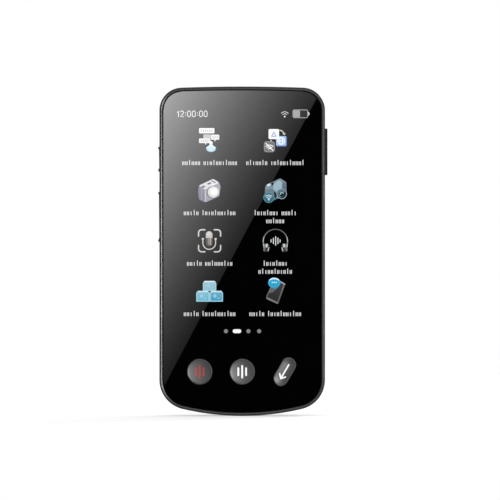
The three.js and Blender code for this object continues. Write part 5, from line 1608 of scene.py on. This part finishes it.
@dataclass
class RearCover:
    """The hollow back moulding, with an opening for each of the things it holds."""

    island: "CameraIsland"
    keys: "SideKeys"
    tray: "TrayFace"
    ports: "TopPorts"
    front_depth: float = 4.3
    side_depth: float = 7.5
    edge_width: float = 8.5
    wall: float = 1.3
    facets: int = 22
    flat_inset: float = 0.5
    open_edge: float = 0.16
    cut_depth: float = 3.0
    port_depth: float = 4.0
    island_fit: float = 0.3
    island_flare: float = 0.06
    usb_fit: float = 0.4
    jack_fit: float = 0.2
    port_flare: float = 0.12
    microphone_across: float = -4.82
    microphone_radius: float = 0.4
    microphone_flare: float = 0.08
    key_fit: float = 0.4
    key_flare: float = 0.1
    tray_lap: float = 1.1
    tray_flare: float = 0.06
    grille_row: float = -60.2
    grille_pitch: float = 2.8
    grille_radius: float = 0.78
    grille_edge: float = 0.12
    grille_over: float = 0.08
    grille_bend: float = 0.8
    grille_counts: tuple[int, int, int] = (10, 11, 12)

    def shell(self, side: float, width: float, back: float, front: float, soft: float) -> list[Ring]:
        """Rings of one skin from the flat back to the open front.

        Args:
            side: How far the straight side is drawn in.
            width: How wide the curved edge is.
            back: The depth of the flat.
            front: The depth of the open end.
            soft: The size of the rounded open edge.

        Returns:
            The rings.
        """
        rings = [SLAB.ring(side + width + self.flat_inset, back)]
        for i in range(self.facets, -1, -1):
            angle = math.pi / 2 * i / self.facets
            depth = self.side_depth + (back - self.side_depth) * math.sin(angle)
            rings.append(SLAB.ring(side + width * (1 - math.cos(angle)), depth))
        if soft:
            rings.append(SLAB.ring(side, front + soft))
            rings.append(SLAB.ring(side + soft * 0.3, front + soft * 0.3))
            rings.append(SLAB.ring(side + soft, front))
        else:
            rings.append(SLAB.ring(side, front))
        return rings

    def flared(
        self, outline: Outline, place: Placer, low: float, high: float, flare: float
    ) -> Builder:
        """A cutter whose outer end widens, for a softened opening.

        Args:
            outline: The opening's outline.
            place: Turns a flat point and a height into a place.
            low: The inner end.
            high: The surface that it cuts.
            flare: How much wider it is at the surface.

        Returns:
            The cutter, not yet made.
        """
        steps = ((0.0, low), (0.0, high - flare), (flare * 2, high + flare))
        shape = Builder()
        shape.loft([placed(swollen(outline, extra), place, level) for extra, level in steps])
        return shape

    def grille(self) -> Outline:
        """The middles of the grille's holes.

        Returns:
            The places, across and up.
        """
        places: Outline = []
        half = max(self.grille_counts) * self.grille_pitch / 2
        for row, count in enumerate(self.grille_counts):
            for i in range(count):
                x = (i - (count - 1) / 2) * self.grille_pitch
                rise = self.grille_bend * (x / half) ** 2 - self.grille_bend / 2
                places.append((x, self.grille_row + (1 - row) * self.grille_pitch + rise))
        return places

    def cutters(self) -> list[bpy.types.Object]:
        """The objects that cut the openings.

        Returns:
            The cutters.
        """
        island, keys, tray, ports = self.island, self.keys, self.tray, self.ports
        half, low = SLAB.width / 2, SLAB.length / 2 - self.port_depth
        left, right = along_side(keys.depth, 0.0, -1.0), along_side(tray.depth, 0.0, 1.0)
        top, fit, lap = along_up(ports.depth), self.island_fit, self.tray_lap
        room = shifted(stadium(island.length + fit, island.width + fit, 40), 0.0, island.height)
        shapes = [self.flared(room, facing_back, -self.cut_depth, 0.0, self.island_flare)]
        usb = stadium(ports.usb_width + self.usb_fit, ports.usb_height + self.usb_fit, 20)
        usb = shifted(turned(usb, 90.0), ports.usb_across, 0.0)
        jack = circle(ports.nose_radius + self.jack_fit, 56, ports.jack_across)
        hole = circle(self.microphone_radius, 28, self.microphone_across)
        for outline, across, flare in (
            (usb, ports.usb_across, self.port_flare), (jack, ports.jack_across, self.port_flare),
            (hole, self.microphone_across, self.microphone_flare),
        ):
            shapes.append(self.flared(outline, top, low, SLAB.top_edge(across), flare))
        for middle, length in keys.places():
            slot = stadium(length + self.key_fit, keys.width + self.key_fit, 20)
            slot = shifted(slot, 0.0, middle)
            shapes.append(self.flared(slot, left, half - self.cut_depth, half, self.key_flare))
        slot = shifted(stadium(tray.length - lap, tray.width - lap, 20), 0.0, tray.middle)
        shapes.append(self.flared(slot, right, half - self.cut_depth, half, self.tray_flare))
        made = [s.make(f"opening_cutter_{i}", [BACK_PAINT]) for i, s in enumerate(shapes)]
        drilled = Builder()
        narrow, wide = self.grille_radius, self.grille_radius + self.grille_edge + self.grille_over
        steps = ((narrow, -self.cut_depth), (narrow, -self.grille_edge), (wide, self.grille_over))
        for x, z in self.grille():
            drilled.loft([placed(circle(r, 32, x, z), facing_back, level) for r, level in steps])
        return made + [drilled.make("grille_cutter", [BACK_PAINT])]

    def build(self) -> None:
        """Builds the shell and cuts its openings."""
        back, front, wall = SLAB.depth, self.front_depth, self.wall
        outer = self.shell(0.0, self.edge_width, back, front, self.open_edge)
        inner = self.shell(wall, self.edge_width - wall, back - wall, front, 0.0)
        shape = Builder()
        shape.loft(outer + inner[::-1])
        made = shape.make("rear_cover_moulding", [BACK_PAINT])
        carve(made, self.cutters(), crease=28.0)
        weigh(made)
        seat(made, HOUSING, "rear_cover", "rear_cover")


@dataclass
class CameraIsland:
    """The metal ring, the black window and the two lens covers."""

    height: float = 46.3
    length: float = 31.8
    width: float = 11.7
    proud: float = 0.3
    rim: float = 0.5
    inner_edge: float = 0.1
    outer_edge: float = 0.18
    soft: float = 0.03
    floor: float = -1.95
    floor_border: float = 0.3
    flange: float = 0.9
    flange_back: float = -1.85
    flange_face: float = -1.4
    window_back: float = -0.95
    window_face: float = -0.25
    window_edge: float = 0.12
    window_flat: float = 0.2
    window_fit: float = 0.1
    seat_gap: float = 0.05
    cut_depth: float = 4.0
    cut_above: float = 0.5
    barrel_room: float = 3.4
    flash_room: float = 1.8
    lens_pitch: float = 20.2
    lens_radius: float = 2.75
    flash_radius: float = 1.5
    hole_edge: float = 0.07
    hole_over: float = 0.05
    barrel: tuple[Pair, ...] = (
        (2.7, 0.6), (2.7, 0.05), (2.62, 0.02), (2.4, 0.02), (2.34, 0.06),
        (2.3, 0.22), (2.0, 0.24), (1.97, 0.36), (1.7, 0.38), (1.67, 0.48),
    )
    dome: tuple[Pair, ...] = (
        (1.55, 0.48), (1.35, 0.38), (1.05, 0.3), (0.7, 0.25), (0.3, 0.225),
    )
    flash_fit: float = 0.04
    flash_back: float = 0.6
    flash_sunk: float = 0.1
    rib_count: int = 6
    rib_radius: float = 1.4
    rib_pitch: float = 0.22
    rib_width: float = 0.15
    rib_crest: float = 0.06
    rib_root: float = 0.12

    def ring(self, border: float, level: float) -> Ring:
        """The island's outline widened by a border, at a level along Y.

        Args:
            border: How much wider it is.
            level: Where it lies along Y.

        Returns:
            The points.
        """
        flat = stadium(self.length + 2 * border, self.width + 2 * border, 48, 4)
        return placed(shifted(flat, 0.0, self.height), facing_back, level)

    def lens_heights(self) -> Pair:
        """The two lenses' middles, up the body."""
        return self.height + self.lens_pitch / 2, self.height - self.lens_pitch / 2

    def rounds(self, lens: float, flash: float) -> tuple[Pair, ...]:
        """The radius and the middle of the lenses' two places and the flash's."""
        upper, lower = self.lens_heights()
        return (lens, upper), (lens, lower), (flash, self.height)

    def discs(self, section: Sequence[Pair], z: float, facets: int = 64) -> list[Ring]:
        """Round rings about one middle.

        Args:
            section: The radius of each ring and its level along Y.
            z: The middle, up the body.
            facets: How many points a ring has.

        Returns:
            The rings.
        """
        return [placed(circle(r, facets, 0.0, z), facing_back, level) for r, level in section]

    def bezel(self) -> None:
        """Builds the cup that holds the window."""
        top, edge, rim = self.proud, self.outer_edge, self.rim
        section = [(self.floor_border, self.floor), (self.flange, self.flange_back)]
        section += [(self.flange, self.flange_face), (0.0, self.flange_face), (0.0, top - edge)]
        section += [(-inset, top - drop) for inset, drop in quarter(edge, 5)]
        section += [(self.inner_edge - rim, top), (self.soft - rim, top - self.soft)]
        section += [(-rim, top - self.inner_edge), (-rim, self.window_back - self.seat_gap)]
        shape = Builder()
        shape.loft([self.ring(border, level) for border, level in section])
        made = shape.make("camera_ring", [BEZEL_METAL])
        cutters = []
        for i, (radius, z) in enumerate(self.rounds(self.barrel_room, self.flash_room)):
            hole = Builder()
            hole.loft(self.discs(((radius, -self.cut_depth), (radius, self.cut_above)), z, 48))
            cutters.append(hole.make(f"bezel_cutter_{i}", [BEZEL_METAL]))
        carve(made, cutters, crease=30.0)
        seat(made, HOUSING, "bezel", "camera_bezel")

    def window(self) -> None:
        """Builds the black window with its three round places."""
        face, edge, border = self.window_face, self.window_edge, -self.rim - self.window_fit
        section = [(border, self.window_back), (border, face - edge)]
        section += [(border - inset, face - drop) for inset, drop in quarter(edge, 4)]
        section.append((border - edge - self.window_flat, face))
        shape = Builder()
        shape.loft([self.ring(width, level) for width, level in section])
        made = shape.make("camera_window_glass", [CAMERA_GLASS])
        cutters = []
        for i, (radius, z) in enumerate(self.rounds(self.lens_radius, self.flash_radius)):
            wide = radius + self.hole_edge + self.hole_over
            low, high = face - self.hole_edge, face + self.hole_over
            steps = ((radius, self.floor), (radius, low), (wide, high))
            hole = Builder()
            hole.loft(self.discs(steps, z))
            cutters.append(hole.make(f"window_cutter_{i}", [CAMERA_GLASS]))
        carve(made, cutters, crease=25.0)
        weigh(made)
        seat(made, HOUSING, "camera_window", "camera_window")

    def lens(self, name: str, z: float) -> None:
        """Builds a lens cover: a thin ring, a stepped cone and a domed lens.

        Args:
            name: The piece's name.
            z: Its middle, up the body.
        """
        section = [(radius, self.window_face - drop) for radius, drop in self.barrel + self.dome]
        shape = Builder()
        shape.loft(self.discs(section, z), slots=[0] * 4 + [1] * 6 + [2] * 4)
        made = shape.make(name, [LENS_RING, DARK_PLASTIC, CAMERA_LENS], crease=30.0)
        seat(made, HOUSING, "camera_barrel")

    def flash(self) -> None:
        """Builds the ribbed lens over the flash."""
        face, radius = self.window_face, self.flash_radius - self.flash_fit
        crest, root = face - self.rib_crest, face - self.rib_root
        section = [(radius, face - self.flash_back), (radius, face - self.flash_sunk)]
        for i in range(self.rib_count):
            rib = self.rib_radius - i * self.rib_pitch
            section += [(rib, crest), (rib - self.rib_width, root)]
        shape = Builder()
        shape.loft(self.discs(section, self.height, 48))
        seat(shape.make("flash_cover", [CLEAR_LENS], crease=30.0), HOUSING, "light_guide")

    def build(self) -> None:
        """Builds the island."""
        self.bezel()
        self.window()
        upper, lower = self.lens_heights()
        self.lens("lens_cover_upper", upper)
        self.lens("lens_cover_lower", lower)
        self.flash()


@dataclass
class SideKeys:
    """The power key and the volume key on the left side."""

    depth: float = 6.8
    width: float = 2.6
    proud: float = 0.7
    dish: float = 0.5
    nub: float = 1.3
    nub_inset: float = 0.45
    soft: float = 0.35
    face_insets: tuple[float, ...] = (0.55, 0.8, 1.05, 1.22)
    flange_at: float = 35.4
    flange_thickness: float = 0.7
    flange_length: float = 0.8
    flange_width: float = 0.3
    plunger_radius: float = 0.8
    plunger_end: float = 34.0
    power_middle: float = 41.5
    power_length: float = 11.2
    volume_middle: float = 15.5
    volume_length: float = 22.5
    volume_reach: float = 7.0

    def places(self) -> tuple[Pair, ...]:
        """The middle and the length of each key."""
        power = (self.power_middle, self.power_length)
        return power, (self.volume_middle, self.volume_length)

    def key(
        self, name: str, node: str, middle: float, length: float, plungers: Sequence[float]
    ) -> None:
        """Builds one dished key.

        Args:
            name: The piece's name.
            node: The node and body it stands for.
            middle: Its middle, up the body.
            length: Its length.
            plungers: The places of its plungers from its middle.
        """
        place = along_side(self.depth, middle, -1.0)
        surface = SLAB.width / 2 + self.proud
        half = length / 2

        def top(z: float) -> float:
            """The key's outer level at a place along it."""
            share = min(max((half - self.nub_inset - abs(z)) / self.nub, 0.0), 1.0)
            return surface - self.dish * share * share * (3.0 - 2.0 * share)

        rings = [placed(stadium(length, self.width, 20, 60), place, self.flange_at)]
        steps = [(0.0, self.soft)] + rounding(self.soft, EDGE_ANGLES)
        steps += [(inset, 0.0) for inset in self.face_insets]
        for inset, drop in steps:
            flat = stadium(length - 2 * inset, self.width - 2 * inset, 20, 60)
            rings.append([place(x, z, top(z) - drop) for x, z in flat])
        shape = Builder()
        shape.loft(rings)
        wide, high = self.width + 2 * self.flange_width, length + 2 * self.flange_length
        flange = stadium(high, wide, 20)
        shape.prism(flange, place, self.flange_at - self.flange_thickness, self.flange_at)
        for z in plungers:
            peg = circle(self.plunger_radius, 24, 0.0, z)
            shape.prism(peg, place, self.plunger_end, self.flange_at - self.flange_thickness)
        seat(shape.make(name, [SIDE_KEY_PLASTIC], crease=35.0), node, "side_key", node)

    def build(self) -> None:
        """Builds both keys."""
        power, volume = self.places()
        reach = self.volume_reach
        self.key("power_key_cap", "power_key", *power, (0.0,))
        self.key("volume_key_cap", "volume_key", *volume, (-reach, reach))


@dataclass
class TrayFace:
    """The face plate of the card tray, with its pinhole."""

    depth: float = 7.05
    middle: float = 44.8
    length: float = 21.0
    width: float = 3.4
    inner: float = 37.3
    outer: float = 38.4
    soft: float = 0.08
    face_inset: float = 0.5
    pin_radius: float = 0.5
    pin_below: float = 8.0
    pin_edge: float = 0.08

    def build(self) -> None:
        """Builds the plate, dark at its sides and bare metal on its face."""
        place = along_side(self.depth, self.middle, 1.0)
        steps = [(0.0, self.inner), (0.0, self.outer - self.soft)]
        steps += [(inset, self.outer - drop) for inset, drop in rounding(self.soft, EDGE_ANGLES)]
        steps.append((self.face_inset, self.outer))
        rings = []
        for inset, level in steps:
            flat = stadium(self.length - 2 * inset, self.width - 2 * inset, 28, 4)
            rings.append(placed(flat, place, level))
        shape = Builder()
        shape.loft(rings, slots=[1, 1, 1, 0, 0, 0])
        made = shape.make("tray_face", [TRAY_METAL, TRAY_EDGE], crease=30.0)
        hole = Builder()
        narrow, edge = self.pin_radius, self.pin_edge
        levels = ((narrow, self.inner - 1.0), (narrow, self.outer - edge))
        levels += ((narrow + 2 * edge, self.outer + edge),)
        hole.loft([placed(circle(r, 40, 0.0, -self.pin_below), place, z) for r, z in levels])
        carve(made, [hole.make("pin_cutter", [TRAY_METAL])], crease=30.0)
        seat(made, "card_tray", "tray_metal", "tray_face_plate")


@dataclass
class TopPorts:
    """The connector and the audio socket in the top edge."""

    depth: float = 6.8
    usb_across: float = 0.7
    usb_width: float = 8.94
    usb_height: float = 3.2
    usb_low: float = 66.3
    usb_high: float = 73.6
    usb_wall: float = 0.3
    usb_edge: float = 0.08
    tongue_width: float = 6.6
    tongue_thickness: float = 0.7
    tongue_start: float = 0.1
    tongue_high: float = 72.6
    contact_count: int = 12
    contact_pitch: float = 0.5
    contact_width: float = 0.28
    contact_thickness: float = 0.06
    contact_start: float = 2.0
    contact_high: float = 72.3
    jack_across: float = 17.1
    jack_width: float = 6.4
    jack_thickness: float = 5.0
    jack_low: float = 59.2
    jack_shoulder: float = 70.8
    jack_high: float = 73.19
    nose_radius: float = 2.15
    nose_edge: float = 0.1
    nose_start: float = -0.2
    bore_radius: float = 1.8
    bore_edge: float = 0.12
    bore_floor: float = 3.0
    spring_at: float = 1.6
    spring_radius: float = 0.42
    spring_height: float = 1.3
    springs: tuple[Pair, ...] = ((35.0, 70.6), (215.0, 67.8))

    def connector(self) -> None:
        """Builds the connector's shell, tongue and contacts."""
        place = along_up(self.depth)

        def ring(border: float, level: float) -> Ring:
            """One ring of the shell."""
            flat = stadium(self.usb_width + 2 * border, self.usb_height + 2 * border, 24)
            return placed(shifted(turned(flat, 90.0), self.usb_across, 0.0), place, level)

        soft, wall, high = self.usb_edge, self.usb_wall, self.usb_high
        shape = Builder()
        shape.loft([
            ring(0.0, self.usb_low), ring(0.0, high - soft), ring(-soft, high),
            ring(soft - wall, high), ring(-wall, high - soft), ring(-wall, self.usb_low + wall),
        ])
        across, thick = self.usb_across, self.tongue_thickness
        tongue = rounded(self.tongue_width, thick, 0.2, across, 0.0, 4)
        low = self.usb_low + self.tongue_start
        shape.prism(tongue, place, low, self.tongue_high, 1, 0.12)
        low = self.usb_low + self.contact_start
        for side in (-1, 1):
            for i in range(self.contact_count):
                x = across + (i - (self.contact_count - 1) / 2) * self.contact_pitch
                y = side * (thick / 2 + 0.01)
                strip = rounded(self.contact_width, self.contact_thickness, 0.02, x, y, 2)
                shape.prism(strip, place, low, self.contact_high, 2)
        made = shape.make("connector_shell", [TINPLATE, DARK_PLASTIC, GOLD])
        seat(made, HOUSING, "steel", "usb_c_port")

    def socket(self) -> None:
        """Builds the audio socket with the contact springs in its bore."""
        place = along_up(self.depth)
        shape = Builder()
        casing = rounded(self.jack_width, self.jack_thickness, 0.3, self.jack_across, 0.0, 5)
        shape.prism(casing, place, self.jack_low, self.jack_shoulder, 0, 0.15)
        nose, bore, high = self.nose_radius, self.bore_radius, self.jack_high
        section = [(nose, self.jack_shoulder + self.nose_start), (nose, high - self.nose_edge)]
        section += [(nose - self.nose_edge, high), (bore + self.bore_edge, high)]
        section += [(bore, high - self.bore_edge), (bore, self.jack_low + self.bore_floor)]
        rings = [placed(circle(r, 56, self.jack_across), place, level) for r, level in section]
        shape.loft(rings, slots=[0, 0, 0, 1, 1])
        for turn, level in self.springs:
            x, y = turned([(self.spring_at, 0.0)], turn)[0]
            spring = circle(self.spring_radius, 16, self.jack_across + x, y)
            shape.prism(spring, place, level, level + self.spring_height, 1, 0.2)
        made = shape.make("audio_socket", [DARK_PLASTIC, TINPLATE])
        seat(made, HOUSING, "connector_black", "audio_jack")

    def build(self) -> None:
        """Builds both ports."""
        self.connector()
        self.socket()


class Inside:
    """The nodes that stay as packed and get a finish of their own."""

    by_slot: dict[str, Finish] = {
        "frame_plastic": RIM_PLASTIC, "display": PANEL_GLASS, "backlight": LIGHT_FILM,
        "ribbon": RIBBON_FILM, "silicone": SILICONE, "circuit_board": SOLDER_MASK, "steel": STEEL,
        "key_cap": KEY_PAINT, "chassis": CHASSIS_METAL, "connector_black": DARK_PLASTIC,
        "battery": POUCH, "rear_cover": BACK_PAINT, "bezel": BEZEL_METAL, "camera_window": CAMERA_GLASS,
        "camera_barrel": DARK_PLASTIC, "flash": PHOSPHOR, "light_guide": CLEAR_LENS,
        "mesh": MESH_CLOTH, "foam": FOAM, "side_key": SIDE_KEY_PLASTIC, "tray_metal": TRAY_METAL,
        "tray_plastic": DARK_PLASTIC, "cover_glass": BLACK_GLASS,
    }
    by_node: dict[str, Finish] = {
        "processor_shield": TINPLATE, "radio_shield": TINPLATE, "card_socket": TINPLATE,
        "top_microphone": GOLD,
    }

    def dress(self) -> None:
        """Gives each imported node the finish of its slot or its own."""
        slots = {s["node"]: s["material_slot"] for s in frame["record"]["subparts"]}
        for name, node in sorted(frame["nodes"].items()):
            finish = self.by_node.get(name) or self.by_slot[slots[name]]
            material = finish.material()
            if not node.material_slots:
                node.data.materials.append(material)
            for place in node.material_slots:
                place.material = material
            LOG.info("dressed %s in %s", name, finish.name)


@dataclass(frozen=True)
class Lamp:
    """A soft rectangular lamp that looks at the object, in metres and watts."""

    name: str
    place: Triple
    size: Pair
    watts: float

    def hang(self) -> None:
        """Hangs the lamp, out of the camera's sight."""
        data = bpy.data.lights.new(self.name, "AREA")
        data.shape = "RECTANGLE"
        data.size, data.size_y = self.size
        data.energy = self.watts
        made = linked(self.name, data)
        made.location = self.place
        made.rotation_euler = (-Vector(self.place)).to_track_quat("-Z", "Y").to_euler()
        made.visible_camera = False


@dataclass
class Studio:
    """The floor, the light and the camera.

    Sizes are in metres, apart from the card's corners and the sensor, in millimetres.
    """

    floor_radii: tuple[float, ...] = (0.2, 1.0, 5.0, 60.0)
    floor_facets: int = 48
    fade_start: float = 0.05
    fade_end: float = 0.7
    fade_share: float = 0.4
    camera_away: float = 1.8
    camera_across: float = 0.0035
    camera_up: float = 0.00055
    pixel: float = 0.000449
    frame_width: float = 500.0
    sensor: float = 36.0
    card_away: float = 0.35
    card_corners: tuple[Pair, ...] = ((37.8, 77.0), (-39.5, -68.9), (-39.5, 77.0))
    card_slopes: Pair = (-5.754, 3.376)
    card_middle: float = 0.16
    card_power: float = 2.4
    card_strength: float = 25.0
    lamps: tuple[Lamp, ...] = (
        Lamp("left_lamp", (-0.9, -0.3, 0.25), (0.2, 1.0), 3.0),
        Lamp("right_lamp", (0.95, 0.2, 0.1), (0.1, 1.0), 2.2),
        Lamp("key_lamp", (0.33, -1.15, -0.02), (0.08, 0.12), 10.6),
        Lamp("top_lamp", (0.0, -0.1, 1.1), (0.8, 0.5), 5.0),
        Lamp("back_lamp", (0.75, 0.6, 0.6), (0.25, 0.4), 7.0),
    )

    def floor(self) -> None:
        """Lays a wide pale floor under the lowest point."""
        low, count = -SLAB.length / 2 * MM, self.floor_facets
        points, faces = [(0.0, 0.0, low)], [(0, 1 + i, 1 + (i + 1) % count) for i in range(count)]
        for radius in self.floor_radii:
            points += [(x, y, low) for x, y in circle(radius, count)]
        for ring in range(len(self.floor_radii) - 1):
            a, b = 1 + ring * count, 1 + (ring + 1) * count
            for i in range(count):
                after = (i + 1) % count
                faces.append((a + i, b + i, b + after, a + after))
        mesh = bpy.data.meshes.new("floor")
        mesh.from_pydata(points, [], faces)
        mesh.materials.append(self.floor_material())
        made = linked("floor", mesh)
        made.visible_glossy = False

    def floor_material(self) -> bpy.types.Material:
        """Makes the floor's finish, which fades into the surround far away.

        Returns:
            The floor's material.
        """
        made = PALE_FLOOR.material()
        nodes, wires = made.node_tree.nodes, Wiring(made.node_tree)
        reach = wires.add("VectorMath", {0: wires.place()}, operation="LENGTH").outputs["Value"]
        fade = wires.add("MapRange", {
            "Value": reach, "From Min": self.fade_start, "From Max": self.fade_end,
            "To Min": self.fade_share,
        }, interpolation_type="SMOOTHSTEP").outputs[0]
        glow = wires.add("Emission").outputs[0]
        inputs = {0: fade, 1: nodes["Principled BSDF"].outputs[0], 2: glow}
        wires.fill(nodes["Material Output"], {"Surface": wires.add("MixShader", inputs).outputs[0]})
        return made

    def world(self) -> None:
        """Sets a white surround that gloss sees only from the sides and back."""
        world = bpy.data.worlds.new("studio")
        bpy.context.scene.world = world
        world.use_nodes = True
        wires = Wiring(world.node_tree)
        path = wires.add("LightPath").outputs
        way = wires.add("TexCoord").outputs["Generated"]
        along = wires.add("SeparateXYZ", {0: way}).outputs["Y"]
        behind = wires.add("MapRange", {
            "Value": along, "From Min": -0.75, "From Max": 0.2, "To Min": 0.0, "To Max": 0.4,
        }).outputs[0]
        soft = wires.add("Mix", {0: path["Is Diffuse Ray"], 2: 1.0, 3: 0.7}).outputs[0]
        light = wires.add("Mix", {0: path["Is Glossy Ray"], 2: soft, 3: behind}).outputs[0]
        ground = world.node_tree.nodes["Background"]
        wires.fill(ground, {"Color": (1.0, 1.0, 1.0, 1.0), "Strength": light})

    def card(self) -> None:
        """Hangs the pale card whose straight edge shows across the glass."""
        away, glass = self.card_away, -SLAB.depth * MM
        spread = 1.0 + away / self.camera_away
        eye = Vector((self.camera_across / MM, 0.0, self.camera_up / MM))
        corners = []
        for x, z in self.card_corners:
            spot = eye + (Vector((x, 0.0, z)) - eye) * spread
            corners.append((spot.x * MM, glass - away, spot.z * MM))
        mesh = bpy.data.meshes.new("card")
        mesh.from_pydata(corners, [], [(0, 1, 2)])
        mesh.materials.append(self.card_material())
        made = linked("card", mesh)
        for way in ("camera", "diffuse", "shadow", "transmission"):
            setattr(made, f"visible_{way}", False)

    def card_material(self) -> bpy.types.Material:
        """Makes the card's light, which grows towards its upper left corner.

        Returns:
            The card's material.
        """
        made = bpy.data.materials.new("card_light")
        made.use_nodes = True
        nodes, wires = made.node_tree.nodes, Wiring(made.node_tree)
        nodes.remove(nodes["Principled BSDF"])
        axes = wires.add("SeparateXYZ", {0: wires.place()}).outputs
        level: float | Socket = self.card_middle
        for axis, slope in zip("XZ", self.card_slopes):
            inputs = {0: axes[axis], 1: slope, 2: level}
            level = wires.add("Math", inputs, operation="MULTIPLY_ADD").outputs[0]
        level = wires.add("Math", {0: level, 1: self.card_power}, operation="POWER").outputs[0]
        inputs = {0: level, 1: self.card_strength}
        level = wires.add("Math", inputs, operation="MULTIPLY").outputs[0]
        light = wires.add("Emission", {"Strength": level}).outputs[0]
        wires.fill(nodes["Material Output"], {"Surface": light})
        return made

    def camera(self) -> None:
        """Sets the camera square to the front."""
        data = bpy.data.cameras.new("camera")
        data.sensor_width = self.sensor
        data.lens = self.sensor * self.camera_away / (self.pixel * self.frame_width)
        data.clip_end = 200.0
        made = linked("camera", data)
        made.location = (self.camera_across, -SLAB.depth * MM - self.camera_away, self.camera_up)
        made.rotation_euler = (math.pi / 2, 0.0, 0.0)
        bpy.context.scene.camera = made

    def build(self) -> None:
        """Builds the studio."""
        bpy.context.scene.view_settings.view_transform = "Standard"
        self.floor()
        self.world()
        self.card()
        for lamp in self.lamps:
            lamp.hang()
        self.camera()


def main() -> None:
    """Builds the scene in order."""
    logging.basicConfig(level=logging.INFO, format="%(message)s")
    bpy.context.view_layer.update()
    Studio().build()
    Inside().dress()
    keys = FrontKeys()
    rear = (CameraIsland(), SideKeys(), TrayFace(), TopPorts())
    FrontFrame().build()
    CoverGlass().build(keys)
    keys.build()
    ScreenImage().build()
    RearCover(*rear).build()
    for group in rear:
        group.build()


if __name__ == "__main__":
    main()
